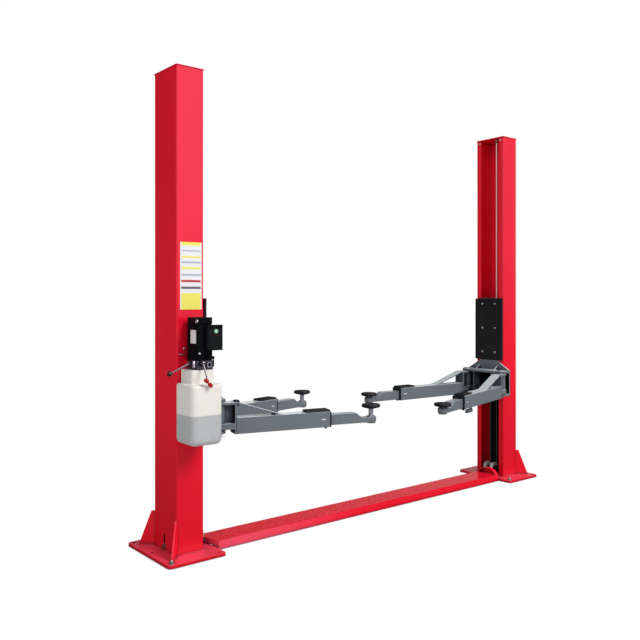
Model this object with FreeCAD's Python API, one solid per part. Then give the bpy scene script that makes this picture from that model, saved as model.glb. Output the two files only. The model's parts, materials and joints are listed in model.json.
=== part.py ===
import FreeCAD, Part
import math
import os
from FreeCAD import Vector

# Two post car lift with a floor plate. Millimetres, +Z up, the origin on the
# floor midway between the posts. X runs from the post with the power unit to
# the other post, and each post opens towards the middle.

# Posts: C sections with two lips beside the slot
TOTAL_HEIGHT = 2826.0
SPAN = 3180.0
COLUMN_DEPTH = 177.0
COLUMN_WIDTH = 274.0
COLUMN_WALL = 6.0
COLUMN_BEND = 9.0
LIP = 47.0
CAP_THICKNESS = 6.0
CAP_OVERHANG = 3.0

# Base plates, their anchor holes and the gussets at the outer corners
BASE_THICKNESS = 18.0
BASE_WIDTH = 528.0
BASE_OUTER_REACH = 113.0
BASE_INNER_REACH = 79.0
BASE_CORNER = 18.0
ANCHOR_HOLE_RADIUS = 10.0
ANCHOR_EDGE = 30.0
GUSSET_THICKNESS = 10.0
GUSSET_HEIGHT = 200.0
GUSSET_TOP = 17.0
GUSSET_EDGE = 47.0

# Cover of the ropes along the floor, with an arched hood at one end
COVER_Y = -61.0
COVER_WIDTH = 181.0
COVER_HEIGHT = 53.0
COVER_WALL = 3.0
COVER_END_LENGTH = 100.0
HOOD_LENGTH = 36.0
HOOD_RISE = 45.0
SMALL_GAP = 4.0
COVER_JOINT_GAP = 2.0
COVER_SKEW_NEAR = 12.0
COVER_SKEW_FAR = 36.0
THROUGH = 1.0

# Ropes that keep the carriages level, and their sheaves at the floor
ROPE_RADIUS = 5.0
ROPE_Y = (-44.0, 19.0)
SHEAVE_PITCH_RADIUS = 40.0
SHEAVE_RIM = 5.0
SHEAVE_WIDTH = 16.0
SHEAVE_AXLE_RADIUS = 12.0
SHEAVE_CENTRE_HEIGHT = 80.0
ROPE_INSIDE_SLOT = 33.0
CHEEK_THICKNESS = 6.0
ANCHOR_SOCKET_RADIUS = 9.0
ANCHOR_SOCKET_LENGTH = 36.0
ROPE_HOLE_RADIUS = 8.0

# Lifting cylinders, which stand in the posts behind the carriages
CYLINDER_RADIUS = 44.0
CYLINDER_BORE = 33.0
CYLINDER_FLOOR = 16.0
CYLINDER_LENGTH = 1050.0
CYLINDER_Y = 15.0
CYLINDER_BACK = 86.0
GLAND_HEIGHT = 30.0
ROD_RADIUS = 24.0
ROD_OUT = 300.0
ROD_TAIL = 740.0
ROLLER_RADIUS = 38.0
ROLLER_WIDTH = 24.0
YOKE_WALL = 8.0
RUN_CLEARANCE = 0.5

# Carriages: hollow tubes that slide in the posts on plastic blocks
CARRIAGE_BOTTOM = 690.0
CARRIAGE_HEIGHT = 800.0
CARRIAGE_DEPTH = 160.0
CARRIAGE_WALL = 8.0
SIDE_CLEARANCE = 5.0
FACE_CLEARANCE = 8.0
BLOCK_CLEARANCE = 2.0
BLOCK_HEIGHT = 120.0
BLOCK_DEPTH = 40.0
GUARD_THICKNESS = 12.0
GUARD_HALF_WIDTH = 139.0
GUARD_HEIGHT = 509.0
GUARD_GAP = 5.0

# Arm seats: a back plate with two shelves that hold the arm pins
PIVOT_STANDOFF = 63.0
PIVOT_Y = 172.0
SEAT_BOTTOM = 694.0
SHELF_THICKNESS = 18.0
SHELF_CLEAR_HEIGHT = 167.0
SHELF_RADIUS = 38.0
SEAT_PLATE = 12.0
SEAT_PEAK_RISE = 76.0
SEAT_PEAK_HALF = 85.0
WEB_THICKNESS = 8.0
RIB_THICKNESS = 12.0
RIB_DEPTH = 50.0
RIB_HEIGHT = 34.0
RIB_Y = 92.0
PIN_RADIUS = 19.0
PIN_HEAD_RADIUS = 27.0
PIN_HEAD = 7.0
PIN_TAIL = 12.0

# Outer arms: a box tube with an end plate, two lugs and a brace
ARM_CLEARANCE = 5.0
LUG_THICKNESS = 12.0
LOW_LUG_THICKNESS = 34.0
HUB_WEB = 12.0
HUB_RADIUS = 38.0
END_PLATE_AT = 84.0
END_PLATE = 12.0
TUBE_BOTTOM = 688.0
TUBE_HEIGHT = 95.0
TUBE_WIDTH = 92.0
TUBE_WALL = 6.0
BRACE_END = 390.0
BRACE_WIDTH = 70.0
BRACE_THICKNESS = 9.0
STRIP_LENGTH = 158.0
STRIP_WIDTH = 74.0
STRIP_THICKNESS = 14.0

# Inner arms, screws and pads
SLIDE_CLEARANCE = 2.0
INNER_HEIGHT = 66.0
INNER_WIDTH = 68.0
INNER_WALL = 6.0
INNER_LENGTH = 740.0
NOSE_BACK = 120.0
NOSE_FRONT = 78.0
NOSE_PLATE = 31.0
SLEEVE_RADIUS = 29.0
SLEEVE_HEIGHT = 37.0
SLEEVE_DROP = 9.0
SCREW_RADIUS = 16.0
SCREW_TAIL = 44.0
PAD_RADIUS = 60.0
PAD_THICKNESS = 28.0
PAD_FOOT_RADIUS = 26.0
PAD_EDGE = 7.0

# Arms as they stand: the ends of their outer tubes and their screws, both from
# the pivot, degrees outward from straight in, and the pads above their sleeves
LEFT_FRONT_TUBE = 705.0
LEFT_REAR_TUBE = 764.0
RIGHT_FRONT_TUBE = 830.0
RIGHT_REAR_TUBE = 790.0
LEFT_FRONT_REACH = 1010.0
LEFT_REAR_REACH = 1083.0
RIGHT_FRONT_REACH = 1100.0
RIGHT_REAR_REACH = 1072.0
LEFT_FRONT_ANGLE = 15.0
LEFT_REAR_ANGLE = 12.0
RIGHT_FRONT_ANGLE = 16.5
RIGHT_REAR_ANGLE = 4.0
LEFT_PAD_RISE = 47.0
RIGHT_PAD_RISE = 3.0

# Power unit on the outer face of the left post
TANK_SIZE = (200.0, 206.0, 340.0)
TANK_BOTTOM = 668.0
TANK_GAP = 13.0
TANK_FROM_WEB = 79.0
TANK_CORNER = 36.0
TANK_RIM = 16.0
TANK_FOOT_RIM = 34.0
NECK_SIZE = (146.0, 132.0)
NECK_FROM_WEB = 90.0
NECK_HEIGHT = 76.0
BLOCK_SIZE = (104.0, 116.0)
PUMP_BLOCK_HEIGHT = 52.0
MOTOR_SIZE = (100.0, 125.0, 243.0)
MOTOR_GAP = 23.0
MOTOR_FROM_WEB = 102.0
MOTOR_CORNER = 12.0
CONTROL_SIZE = (97.0, 30.0, 144.0)
CONTROL_FROM_WEB = 148.5
CONTROL_DROP = 42.0
CONTROL_CORNER = 4.0
BRACKET_PLATE = 8.0
BRACKET_DROP = 74.0
BRACKET_WIDTH = 118.0
LEVER_RADIUS = 5.0
LEVER_EYE_RADIUS = 10.0
LEVER_EYE_WIDTH = 12.0
LEVER_PIN_RADIUS = 4.0
FORK_CHEEK = 5.0
FORK_GAP = 1.0
LOWERING_REACH = (-128.0, -52.0)
RELEASE_REACH = (-15.0, -84.0, -104.0)
LOWERING_RISE = 36.0
RELEASE_RISE = 40.0
RELEASE_SHIFT = -19.0
KNOB_RADIUS = 15.0
GRIP_RADIUS = 12.0
GRIP_LENGTH = 30.0

# Places that follow from the sizes above
WEB_X = SPAN / 2
SLOT_X = WEB_X - COLUMN_DEPTH
COLUMN_TOP = TOTAL_HEIGHT - CAP_THICKNESS
BASE_OUT_X = WEB_X + BASE_OUTER_REACH
BASE_IN_X = SLOT_X - BASE_INNER_REACH
SLOT_HALF = COLUMN_WIDTH / 2 - LIP
ROPE_X = SLOT_X + ROPE_INSIDE_SLOT
SHEAVE_X = ROPE_X - SHEAVE_PITCH_RADIUS
ROPE_FLOOR_Z = SHEAVE_CENTRE_HEIGHT - SHEAVE_PITCH_RADIUS
CYLINDER_X = WEB_X - CYLINDER_BACK
CYLINDER_TOP = BASE_THICKNESS + CYLINDER_LENGTH
CARRIAGE_HALF = SLOT_HALF - SIDE_CLEARANCE
CARRIAGE_IN_X = SLOT_X - FACE_CLEARANCE
CARRIAGE_OUT_X = CARRIAGE_IN_X + CARRIAGE_DEPTH
SEAT_IN_X = CARRIAGE_IN_X - SEAT_PLATE
PIVOT_X = SEAT_IN_X - PIVOT_STANDOFF
LOW_SHELF_TOP = SEAT_BOTTOM + SHELF_THICKNESS
HIGH_SHELF = LOW_SHELF_TOP + SHELF_CLEAR_HEIGHT
SEAT_TOP = HIGH_SHELF + SHELF_THICKNESS
LUG_TOP = HIGH_SHELF - ARM_CLEARANCE
LUG_BOTTOM = LOW_SHELF_TOP + ARM_CLEARANCE
TUBE_TOP = TUBE_BOTTOM + TUBE_HEIGHT
INNER_BOTTOM = TUBE_BOTTOM + TUBE_WALL + SLIDE_CLEARANCE
SLEEVE_TOP = INNER_BOTTOM + SLEEVE_HEIGHT
POST_FACE_Y = -COLUMN_WIDTH / 2
TANK_TOP = TANK_BOTTOM + TANK_SIZE[2]
NECK_TOP = TANK_TOP + NECK_HEIGHT
MOTOR_BOTTOM = NECK_TOP + PUMP_BLOCK_HEIGHT
MOTOR_TOP = MOTOR_BOTTOM + MOTOR_SIZE[2]
TANK_X = TANK_FROM_WEB - WEB_X
NECK_X = NECK_FROM_WEB - WEB_X
MOTOR_X = MOTOR_FROM_WEB - WEB_X
CONTROL_X = CONTROL_FROM_WEB - WEB_X
MOTOR_Y = POST_FACE_Y - MOTOR_GAP - MOTOR_SIZE[1] / 2


def box(x, y, z):
    """A box from its low and high places along each axis."""
    corner = Vector(x[0], y[0], z[0])
    return Part.makeBox(x[1] - x[0], y[1] - y[0], z[1] - z[0], corner)


def rod(radius, start, end):
    """A round bar between two points."""
    start, end = Vector(*start), Vector(*end)
    return Part.makeCylinder(radius, (end - start).Length, start, end - start)


def prism(points, along):
    """A flat outline of (x, y, z) points pushed along a vector."""
    ring = [Vector(*p) for p in points]
    return Part.Face(Part.makePolygon(ring + ring[:1])).extrude(Vector(*along))


def joined(shapes):
    """One solid from several that touch or overlap."""
    return shapes[0].fuse(shapes[1:]).removeSplitter()


def upright_edges(shape, test=lambda x, y: True):
    """The vertical edges of a shape whose place passes a test."""
    found = []
    for edge in shape.Edges:
        low, high = edge.BoundBox.ZMin, edge.BoundBox.ZMax
        middle = edge.BoundBox.Center
        flat = edge.BoundBox.XLength < 1e-6 and edge.BoundBox.YLength < 1e-6
        if flat and high - low > 1e-6 and test(middle.x, middle.y):
            found.append(edge)
    return found


def mirrored(shape):
    """The same piece at the other post."""
    return shape.mirror(Vector(0, 0, 0), Vector(1, 0, 0))


def both(shape):
    return [shape, mirrored(shape)]


def save(name, *shapes):
    whole = shapes[0] if len(shapes) == 1 else Part.makeCompound(list(shapes))
    whole.exportStep("parts/%s.step" % name)


def column():
    """Rolled C section with its slot towards the middle of the lift."""
    half = COLUMN_WIDTH / 2
    z = (BASE_THICKNESS, COLUMN_TOP)
    outer = box((SLOT_X, WEB_X), (-half, half), z)
    outer = outer.makeFillet(COLUMN_BEND, upright_edges(outer))
    inside = box((SLOT_X + COLUMN_WALL, WEB_X - COLUMN_WALL),
                 (COLUMN_WALL - half, half - COLUMN_WALL), z)
    inside = inside.makeFillet(COLUMN_BEND - COLUMN_WALL, upright_edges(inside))
    slot = box((SLOT_X - THROUGH, SLOT_X + COLUMN_WALL + THROUGH), (-SLOT_HALF, SLOT_HALF), z)
    return outer.cut(inside).cut(slot)


def column_cap():
    half = COLUMN_WIDTH / 2 + CAP_OVERHANG
    x = (SLOT_X - CAP_OVERHANG, WEB_X + CAP_OVERHANG)
    return box(x, (-half, half), (COLUMN_TOP, TOTAL_HEIGHT))


def anchor_places():
    """Anchor holes of the right base plate: four corners and the outer middle."""
    y = BASE_WIDTH / 2 - ANCHOR_EDGE
    rows = (BASE_IN_X + ANCHOR_EDGE, BASE_OUT_X - ANCHOR_EDGE)
    corners = [(x, side * y) for x in rows for side in (-1, 1)]
    return corners + [(BASE_OUT_X - ANCHOR_EDGE, 0.0)]


def base_plate():
    half = BASE_WIDTH / 2
    plate = box((BASE_IN_X, BASE_OUT_X), (-half, half), (0, BASE_THICKNESS))
    plate = plate.makeFillet(BASE_CORNER, upright_edges(plate))
    top = BASE_THICKNESS + THROUGH
    holes = [rod(ANCHOR_HOLE_RADIUS, (x, y, -THROUGH), (x, y, top)) for x, y in anchor_places()]
    return plate.cut(holes)


def gusset(side, post):
    """Triangular plate that stands out diagonally from an outer corner of the post."""
    foot, top = BASE_THICKNESS, BASE_THICKNESS + GUSSET_HEIGHT
    ledge = min(BASE_OUTER_REACH, (BASE_WIDTH - COLUMN_WIDTH) / 2)
    toe = (ledge - GUSSET_EDGE) * math.sqrt(2)
    root = -COLUMN_BEND * (math.sqrt(2) - 1) - COLUMN_WALL / 2
    outline = [(root, foot), (toe, foot), (GUSSET_TOP, top), (root, top)]
    plate = prism([(out, -GUSSET_THICKNESS / 2, z) for out, z in outline], (0, GUSSET_THICKNESS, 0))
    plate.rotate(Vector(0, 0, 0), Vector(0, 0, 1), 45 * side)
    plate.translate(Vector(WEB_X, side * COLUMN_WIDTH / 2, 0))
    return plate.cut(post)


def cover_run(x_from, x_to):
    """A stretch of the folded cover, open below and at both ends."""
    half = COVER_WIDTH / 2
    outer = box((x_from, x_to), (COVER_Y - half, COVER_Y + half), (0, COVER_HEIGHT))
    inner = half - COVER_WALL
    x = (x_from - THROUGH, x_to + THROUGH)
    hollow = box(x, (COVER_Y - inner, COVER_Y + inner), (-THROUGH, COVER_HEIGHT - COVER_WALL))
    return outer.cut(hollow)


def end_piece(start, joint):
    """Short piece of the cover, whose closed end runs askew over the base plate."""
    half = COVER_WIDTH / 2
    near, far = start + COVER_SKEW_NEAR, start - COVER_SKEW_FAR
    wall = COVER_WALL

    def outline(inset, end):
        low, high = COVER_Y - half + inset, COVER_Y + half - inset
        return [(near + inset, low), (end, low), (end, high), (far + inset, high)]

    outer = prism([(x, y, 0) for x, y in outline(0, joint)], (0, 0, COVER_HEIGHT))
    inside = [(x, y, -THROUGH) for x, y in outline(wall, joint + THROUGH)]
    hollow = prism(inside, (0, 0, COVER_HEIGHT - wall + THROUGH))
    over_plate = box((far - THROUGH, start), (COVER_Y - half - THROUGH, COVER_Y + half + THROUGH),
                     (-THROUGH, BASE_THICKNESS + THROUGH))
    holes = [rod(ROPE_HOLE_RADIUS, (far - THROUGH, y, ROPE_FLOOR_Z), (joint, y, ROPE_FLOOR_Z)) for y in ROPE_Y]
    return outer.cut(hollow).cut(over_plate).cut(holes)


def floor_cover():
    """The closed end piece beside the left post, and the long cover."""
    end = BASE_IN_X - SMALL_GAP
    joint = COVER_END_LENGTH - end
    return end_piece(-end, joint), cover_run(joint + COVER_JOINT_GAP, end)


def sheave_hood():
    """Arched hood on the cover's end, in front of the right post's sheaves."""
    end = BASE_IN_X - SMALL_GAP
    half = COVER_WIDTH / 2 - COVER_WALL
    radius = (half ** 2 + HOOD_RISE ** 2) / (2 * HOOD_RISE)
    centre = COVER_HEIGHT + HOOD_RISE - radius

    def arch(r, x_from, x_to):
        drum = rod(r, (x_from, COVER_Y, centre), (x_to, COVER_Y, centre))
        x = (x_from - THROUGH, x_to + THROUGH)
        above = box(x, (COVER_Y - r, COVER_Y + r), (COVER_HEIGHT, COVER_HEIGHT + r))
        return drum.common(above)

    start = end - HOOD_LENGTH
    return arch(radius, start, end).cut(arch(radius - COVER_WALL, start - THROUGH, end - COVER_WALL))


def sheave(y):
    """Grooved wheel that turns a rope from the floor up into a post."""
    rim = SHEAVE_PITCH_RADIUS + SHEAVE_RIM
    half = SHEAVE_WIDTH / 2
    at = (SHEAVE_X, y, SHEAVE_CENTRE_HEIGHT)
    wheel = rod(rim, (at[0], y - half, at[2]), (at[0], y + half, at[2]))
    past = half + THROUGH
    bore = rod(SHEAVE_AXLE_RADIUS + RUN_CLEARANCE, (at[0], y - past, at[2]), (at[0], y + past, at[2]))
    middle = SHEAVE_PITCH_RADIUS + ROPE_RADIUS / 2
    groove_radius = middle - SHEAVE_PITCH_RADIUS + ROPE_RADIUS
    groove = Part.makeTorus(middle, groove_radius, Vector(*at), Vector(0, 1, 0))
    return wheel.cut(bore).cut(groove)


def sheave_bracket():
    """Two cheeks on the base plate and the axle between them."""
    low, high = ROPE_Y[0] - SHEAVE_WIDTH, ROPE_Y[1] + SHEAVE_WIDTH
    z = SHEAVE_CENTRE_HEIGHT
    half = SHEAVE_AXLE_RADIUS * 2
    pieces = [rod(SHEAVE_AXLE_RADIUS, (SHEAVE_X, low, z), (SHEAVE_X, high, z))]
    for y in (low - CHEEK_THICKNESS, high):
        plate = box((SHEAVE_X - half, SHEAVE_X + half), (y, y + CHEEK_THICKNESS), (BASE_THICKNESS, z))
        boss = rod(half, (SHEAVE_X, y, z), (SHEAVE_X, y + CHEEK_THICKNESS, z))
        pieces += [plate, boss]
    return joined(pieces)


def rope(y, side):
    """Rope at one Y: it hangs from the cap of the post on one side, turns
    under both sheaves and rises to the carriage in the other post."""
    r = SHEAVE_PITCH_RADIUS
    z = SHEAVE_CENTRE_HEIGHT
    low = ROPE_FLOOR_Z
    high_end = COLUMN_TOP - ANCHOR_SOCKET_LENGTH
    bend = r * math.sqrt(0.5)

    def at(x, height):
        return Vector(side * x, y, height)

    edges = [
        Part.LineSegment(at(ROPE_X, high_end), at(ROPE_X, z)).toShape(),
        Part.Arc(at(ROPE_X, z), at(SHEAVE_X + bend, z - bend), at(SHEAVE_X, low)).toShape(),
        Part.LineSegment(at(SHEAVE_X, low), at(-SHEAVE_X, low)).toShape(),
        Part.Arc(at(-SHEAVE_X, low), at(-SHEAVE_X - bend, z - bend), at(-ROPE_X, z)).toShape(),
        Part.LineSegment(at(-ROPE_X, z), at(-ROPE_X, CARRIAGE_BOTTOM - ARM_CLEARANCE)).toShape(),
    ]
    path = Part.Wire(edges)
    ring = Part.Wire([Part.makeCircle(ROPE_RADIUS, at(ROPE_X, high_end), Vector(0, 0, 1))])
    return path.makePipeShell([ring], True, True)


def rope_anchor(y, side):
    """Socket that holds a rope's end under the cap."""
    x = side * ROPE_X
    return rod(ANCHOR_SOCKET_RADIUS, (x, y, COLUMN_TOP - ANCHOR_SOCKET_LENGTH), (x, y, COLUMN_TOP))


def lift_cylinder():
    x, y = CYLINDER_X, CYLINDER_Y
    barrel = rod(CYLINDER_RADIUS, (x, y, BASE_THICKNESS), (x, y, CYLINDER_TOP))
    gland_from = CYLINDER_TOP - GLAND_HEIGHT
    bore = rod(CYLINDER_BORE, (x, y, BASE_THICKNESS + CYLINDER_FLOOR), (x, y, gland_from))
    gland = rod(ROD_RADIUS + RUN_CLEARANCE, (x, y, gland_from - THROUGH), (x, y, CYLINDER_TOP + THROUGH))
    return barrel.cut(bore).cut(gland)


def lift_rod():
    """Rod with a forked head, and the chain roller in the fork."""
    x, y = CYLINDER_X, CYLINDER_Y
    top = CYLINDER_TOP + ROD_OUT
    centre = top + ROLLER_RADIUS + YOKE_WALL
    half = ROLLER_WIDTH / 2 + RUN_CLEARANCE
    shank = rod(ROD_RADIUS, (x, y, CYLINDER_TOP - ROD_TAIL), (x, y, top))
    across = (x - ROD_RADIUS, x + ROD_RADIUS)
    yoke = half + YOKE_WALL
    pieces = [shank, box(across, (y - yoke, y + yoke), (top - YOKE_WALL, top))]
    for y_from in (y - yoke, y + half):
        pieces.append(box(across, (y_from, y_from + YOKE_WALL), (top - YOKE_WALL, centre)))
        pieces.append(rod(ROD_RADIUS, (x, y_from, centre), (x, y_from + YOKE_WALL, centre)))
    pieces.append(rod(SHEAVE_AXLE_RADIUS, (x, y - yoke, centre), (x, y + yoke, centre)))
    roller = rod(ROLLER_RADIUS, (x, y - ROLLER_WIDTH / 2, centre), (x, y + ROLLER_WIDTH / 2, centre))
    bore = rod(SHEAVE_AXLE_RADIUS + RUN_CLEARANCE, (x, y - half, centre), (x, y + half, centre))
    return joined(pieces), roller.cut(bore)


def carriage():
    half = CARRIAGE_HALF
    z = (CARRIAGE_BOTTOM, CARRIAGE_BOTTOM + CARRIAGE_HEIGHT)
    outer = box((CARRIAGE_IN_X, CARRIAGE_OUT_X), (-half, half), z)
    outer = outer.makeFillet(COLUMN_BEND, upright_edges(outer))
    hollow = box((CARRIAGE_IN_X + CARRIAGE_WALL, CARRIAGE_OUT_X - CARRIAGE_WALL),
                 (CARRIAGE_WALL - half, half - CARRIAGE_WALL), (z[0] - THROUGH, z[1] + THROUGH))
    return outer.cut(hollow)


def slide_blocks():
    """Eight plastic blocks that guide a carriage between lips and web."""
    side = (CARRIAGE_HALF, COLUMN_WIDTH / 2 - COLUMN_WALL - BLOCK_CLEARANCE)
    front = SLOT_X + COLUMN_WALL + BLOCK_CLEARANCE
    back = WEB_X - COLUMN_WALL - BLOCK_CLEARANCE
    top = CARRIAGE_BOTTOM + CARRIAGE_HEIGHT
    blocks = []
    for x in ((front, front + BLOCK_DEPTH), (back - BLOCK_DEPTH, back)):
        for z in ((CARRIAGE_BOTTOM, CARRIAGE_BOTTOM + BLOCK_HEIGHT), (top - BLOCK_HEIGHT, top)):
            blocks.append(box(x, side, z))
            blocks.append(box(x, (-side[1], -side[0]), z))
    return blocks


def guard():
    """Rubber plate bolted to the carriage above the arm seat."""
    bottom = SEAT_TOP + SEAT_PEAK_RISE + GUARD_GAP
    x = (CARRIAGE_IN_X - GUARD_THICKNESS, CARRIAGE_IN_X)
    return box(x, (-GUARD_HALF_WIDTH, GUARD_HALF_WIDTH), (bottom, bottom + GUARD_HEIGHT))


def shelf(z):
    """Flat shelf with a round corner about each arm pin."""
    inner = PIVOT_X - SHELF_RADIUS
    outer = PIVOT_Y + SHELF_RADIUS
    plate = box((inner, SEAT_IN_X), (-outer, outer), (z, z + SHELF_THICKNESS))
    return plate.makeFillet(SHELF_RADIUS - THROUGH, upright_edges(plate, lambda x, y: x < PIVOT_X))


def arm_seat():
    """Back plate with a peak, two shelves, two webs and two ribs."""
    half = PIVOT_Y + SHELF_RADIUS
    peak = SEAT_TOP + SEAT_PEAK_RISE
    outline = [(-half, SEAT_BOTTOM), (half, SEAT_BOTTOM), (half, SEAT_TOP),
               (SEAT_PEAK_HALF, peak), (-SEAT_PEAK_HALF, peak), (-half, SEAT_TOP)]
    back = prism([(SEAT_IN_X, y, z) for y, z in outline], (SEAT_PLATE, 0, 0))
    pieces = [back, shelf(SEAT_BOTTOM), shelf(HIGH_SHELF)]
    rib_toe = SEAT_IN_X - RIB_DEPTH
    rib_outline = [(SEAT_IN_X, SEAT_TOP), (rib_toe, SEAT_TOP), (SEAT_IN_X, SEAT_TOP + RIB_HEIGHT)]
    for side in (-1, 1):
        y = around(side * RIB_Y, WEB_THICKNESS)
        pieces.append(box((PIVOT_X - SHELF_RADIUS / 2, SEAT_IN_X), y, (LOW_SHELF_TOP, HIGH_SHELF)))
        y = side * RIB_Y - RIB_THICKNESS / 2
        pieces.append(prism([(x, y, z) for x, z in rib_outline], (0, RIB_THICKNESS, 0)))
    seat = joined(pieces)
    z = (SEAT_BOTTOM - THROUGH, SEAT_TOP + THROUGH)
    bores = [rod(PIN_RADIUS, (PIVOT_X, y, z[0]), (PIVOT_X, y, z[1])) for y in (-PIVOT_Y, PIVOT_Y)]
    return seat.cut(bores)


def arm_pin(y):
    shank = rod(PIN_RADIUS, (PIVOT_X, y, SEAT_BOTTOM - PIN_TAIL), (PIVOT_X, y, SEAT_TOP))
    head = rod(PIN_HEAD_RADIUS, (PIVOT_X, y, SEAT_TOP), (PIVOT_X, y, SEAT_TOP + PIN_HEAD))
    return shank.fuse(head).removeSplitter()


def outer_arm(tube_end):
    """Outer arm along +X from its pivot at the origin."""
    half = TUBE_WIDTH / 2
    tube = box((END_PLATE_AT + END_PLATE, tube_end), (-half, half), (TUBE_BOTTOM, TUBE_TOP))
    hollow = box((END_PLATE_AT + END_PLATE, tube_end + THROUGH), (TUBE_WALL - half, half - TUBE_WALL),
                 (TUBE_BOTTOM + TUBE_WALL, TUBE_TOP - TUBE_WALL))
    end_plate = box((END_PLATE_AT, END_PLATE_AT + END_PLATE), (-half, half), (TUBE_BOTTOM, LUG_TOP))
    pieces = [tube.cut(hollow), end_plate, rod(HUB_RADIUS, (0, 0, LUG_BOTTOM), (0, 0, LUG_TOP))]
    for low, high in ((LUG_BOTTOM, LUG_BOTTOM + LOW_LUG_THICKNESS), (LUG_TOP - LUG_THICKNESS, LUG_TOP)):
        pieces.append(box((0, END_PLATE_AT), (-half, half), (low, high)))
        pieces.append(rod(half, (0, 0, low), (0, 0, high)))
    pieces.append(box((0, END_PLATE_AT), (-HUB_WEB / 2, HUB_WEB / 2), (LUG_BOTTOM, LUG_TOP)))
    top = END_PLATE_AT + END_PLATE
    brace = [(top, LUG_TOP), (top, LUG_TOP - BRACE_THICKNESS), (BRACE_END - 2 * BRACE_THICKNESS, TUBE_TOP),
             (BRACE_END, TUBE_TOP), (top + BRACE_THICKNESS, LUG_TOP)]
    pieces.append(prism([(x, -BRACE_WIDTH / 2, z) for x, z in brace], (0, BRACE_WIDTH, 0)))
    bore = rod(PIN_RADIUS + RUN_CLEARANCE, (0, 0, LUG_BOTTOM - THROUGH), (0, 0, LUG_TOP + THROUGH))
    return joined(pieces).cut(bore)


def arm_strip(tube_end):
    """Rubber strip on the front end of the outer arm."""
    half = STRIP_WIDTH / 2
    strip = box((tube_end - STRIP_LENGTH, tube_end), (-half, half), (TUBE_TOP, TUBE_TOP + STRIP_THICKNESS))
    along = [e for e in strip.Edges if e.BoundBox.ZMin > TUBE_TOP + STRIP_THICKNESS / 2]
    return strip.makeFillet(STRIP_THICKNESS / 3, along)


def inner_arm(reach):
    """Inner arm whose nose carries the screw sleeve at a distance from the pivot."""
    half = INNER_WIDTH / 2
    low, high = INNER_BOTTOM, INNER_BOTTOM + INNER_HEIGHT
    back = reach - INNER_LENGTH
    nose_top = low + NOSE_PLATE
    outline = [(back, low), (reach, low), (reach, nose_top), (reach - NOSE_FRONT, nose_top),
               (reach - NOSE_BACK, high), (back, high)]
    bar = prism([(x, -half, z) for x, z in outline], (0, INNER_WIDTH, 0))
    hollow = box((back - THROUGH, reach - NOSE_BACK - INNER_WALL), (INNER_WALL - half, half - INNER_WALL),
                 (low + INNER_WALL, high - INNER_WALL))
    nose = joined([bar.cut(hollow), rod(half, (reach, 0, low), (reach, 0, nose_top)),
                   rod(SLEEVE_RADIUS, (reach, 0, low - SLEEVE_DROP), (reach, 0, SLEEVE_TOP))])
    bore = rod(SCREW_RADIUS + RUN_CLEARANCE, (reach, 0, low - 2 * SLEEVE_DROP), (reach, 0, SLEEVE_TOP + THROUGH))
    return nose.cut(bore)


def pad_screw(reach, rise):
    foot = SLEEVE_TOP - SCREW_TAIL
    return rod(SCREW_RADIUS, (reach, 0, foot), (reach, 0, SLEEVE_TOP + rise + PAD_THICKNESS / 2))


def pad(reach, rise):
    """Round rubber pad, flared below, on the screw's head."""
    under = SLEEVE_TOP + rise
    top = under + PAD_THICKNESS
    edge = PAD_EDGE
    outline = [(0, under), (PAD_FOOT_RADIUS, under), (PAD_RADIUS - edge, under + edge),
               (PAD_RADIUS, top - 2 * edge), (PAD_RADIUS, top - edge), (PAD_RADIUS - edge, top), (0, top)]
    ring = [Vector(reach + r, 0, z) for r, z in outline]
    face = Part.Face(Part.makePolygon(ring + ring[:1]))
    disc = face.revolve(Vector(reach, 0, 0), Vector(0, 0, 1), 360)
    return disc.cut(pad_screw(reach, rise))


def placed(shape, side, end, angle):
    """A piece of an arm, turned outward by an angle and put on its pivot."""
    along = math.radians(angle)
    turn = math.degrees(math.atan2(end * math.sin(along), -side * math.cos(along)))
    rotation = FreeCAD.Rotation(Vector(0, 0, 1), turn)
    at = FreeCAD.Placement(Vector(side * PIVOT_X, end * PIVOT_Y, 0), rotation)
    return shape.transformed(at.toMatrix())


def rounded_box(x, y, z, radius):
    shape = box(x, y, z)
    return shape.makeFillet(radius, upright_edges(shape))


def around(middle, size):
    return middle - size / 2, middle + size / 2


def oil_tank():
    """Blow moulded tank: a wide body under a narrower neck."""
    y = (POST_FACE_Y - TANK_GAP - TANK_SIZE[1], POST_FACE_Y - TANK_GAP)
    x = around(TANK_X, TANK_SIZE[0])
    body = rounded_box(x, y, (TANK_BOTTOM, TANK_TOP), TANK_CORNER)
    for rim, height in ((TANK_RIM, TANK_TOP), (TANK_FOOT_RIM, TANK_BOTTOM)):
        flat = [e.BoundBox for e in body.Edges]
        edges = [e for e, b in zip(body.Edges, flat) if abs(b.ZMin - height) < 1e-3 and b.ZLength < 1e-3]
        body = body.makeFillet(rim, edges)
    neck_back = POST_FACE_Y - BRACKET_PLATE - SMALL_GAP
    neck_y = (neck_back - NECK_SIZE[1], neck_back)
    neck = rounded_box(around(NECK_X, NECK_SIZE[0]), neck_y, (TANK_TOP - TANK_RIM, NECK_TOP), TANK_RIM)
    return body.fuse(neck).removeSplitter()


def fork(pivot, across):
    """Two cheeks and a pin that hold a lever's eye at a pivot point."""
    near = LEVER_EYE_WIDTH / 2 + FORK_GAP
    far = near + FORK_CHEEK
    at = Vector(*pivot)
    cheeks = []
    for sign in (-1, 1):
        start = at + across * near * sign
        cheeks.append(Part.makeCylinder(LEVER_EYE_RADIUS, FORK_CHEEK, start, across * sign))
    pin = Part.makeCylinder(LEVER_PIN_RADIUS, 2 * far, at - across * far, across)
    return cheeks + [pin]


def lowering_pivot():
    return MOTOR_X - BLOCK_SIZE[0] / 2 - LEVER_EYE_RADIUS - FORK_GAP, MOTOR_Y, NECK_TOP + LOWERING_RISE


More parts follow.
